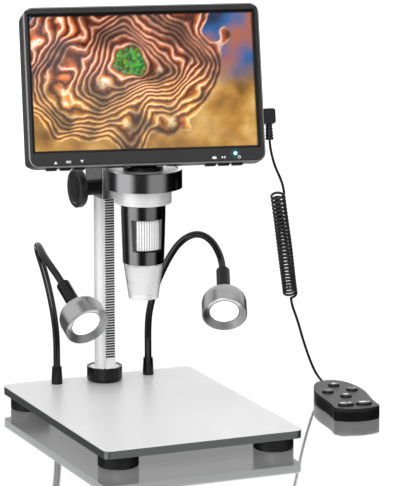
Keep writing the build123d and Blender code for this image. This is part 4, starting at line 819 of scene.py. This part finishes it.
# Right and up on the screen's face, and the mark.
KEY_MARKS = ((-63.1, -4.2, UP_MARK), (-54.3, -3.8, MENU_MARK), (-45.2, -3.6, DOWN_MARK),
             (45.4, -3.8, CAMERA_MARK), (51.7, -3.7, MODE_MARK), (62.6, -3.9, POWER_MARK))
KEY_MARK_SIZE = 1.22
face = SCREEN @ Matrix.Translation((0, BEZEL_FACE, 0)) @ Matrix.Rotation(math.pi / 2, 4, "X")
verts, faces = gathered(plates(scaled(mark, KEY_MARK_SIZE, x, z), face) for x, z, mark in KEY_MARKS)
marks = build("key_marks", verts, faces, mark_look)
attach(marks, "screen")

# Along and across the remote, and the mark.
BUTTON_TOP = 11.6
BUTTON_MARKS = {
    "remote_up": (24.8, -0.2, scaled(UP_MARK, 2.3)),
    "remote_down": (-7.3, -0.2, scaled(DOWN_MARK, 2.3)),
    "remote_left": (7.2, -9.4, scaled(LENS_MARK + MINUS_MARK, 1.25, 0.9, 0.3)),
    "remote_right": (9.4, 9.0, scaled(LENS_MARK + PLUS_MARK, 1.25, 0.9, 0.3)),
    "remote_camera": (-31.2, -6.9, scaled(CAMERA_MARK, 1.9, -2.0) + scaled([disc(0.7)], 1.7, 2.6)),
    "remote_record": (-31.0, 6.1, scaled(FILM_MARK, 1.75)),
}
for name, (along, sideways, mark) in BUTTON_MARKS.items():
    verts, faces = plates(mark, REMOTE @ Matrix.Translation((sideways, along, BUTTON_TOP)))
    piece = build(name + "_mark", verts, faces, mark_look)
    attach(piece, name + "_button")

# ---------------------------------------------------------------- goosenecks
NECK_D = 5.0
# How far behind the lamp's face the neck enters its collar, and where it ends in it.
NECK_ENTRY, NECK_END = 48.6, 37.6
NECKS = {
    "left": [(-35, 86.5, 21.5), (-35, 86.5, 35.5), (-34.9, 87, 48), (-35.6, 88.8, 62), (-36.7, 92.4, 75),
             (-37.6, 97, 86), (-38.6, 101.6, 95.4), (-40.4, 104.4, 103.4), (-42.5, 103, 109.6),
             (-44.6, 98.2, 113.6), (-46.3, 91.4, 115.2), (-47.7, 83.6, 114.2), (-48.4, 75.2, 111),
             (-47.2, 65.6, 105.8)],
    "right": [(35, 86.5, 21.5), (35, 86.5, 35.5), (35.1, 87, 47), (36.1, 87.7, 59), (39.2, 88.5, 70.6),
              (43.4, 89, 81.4), (48.4, 89, 91.4), (53.8, 88.5, 101.1), (59.6, 87, 109.2), (66, 83.8, 114.6),
              (72.4, 79.4, 116.2), (77.4, 73.4, 113.4), (80.4, 66.2, 107)],
}
for side, route in NECKS.items():
    route = route + [lamp_frame(side) @ Vector((0, 0, back)) for back in (NECK_ENTRY, NECK_END)]
    neck, _ = wire(f"neck_{side}", route, NECK_D, neck_look)
    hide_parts(f"gooseneck_{side}")
    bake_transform(neck)

# ---------------------------------------------------------------- cords
upper, upper_line = wire("wire_upper", UPPER, LEAD_D, wire_look)
coil, coil_line = wire("wire_coil", helix(), LEAD_D, wire_look)
lower_lead, lower_line = wire("wire_lower", LOWER, LEAD_D, wire_look)
for obj, name in ((upper, "lead_upper"), (coil, "lead_coil"), (lower_lead, "lead_lower")):
    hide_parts(name)
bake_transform(upper)
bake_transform(coil)
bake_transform(lower_lead)

bpy.context.scene.view_settings.view_transform = "Standard"
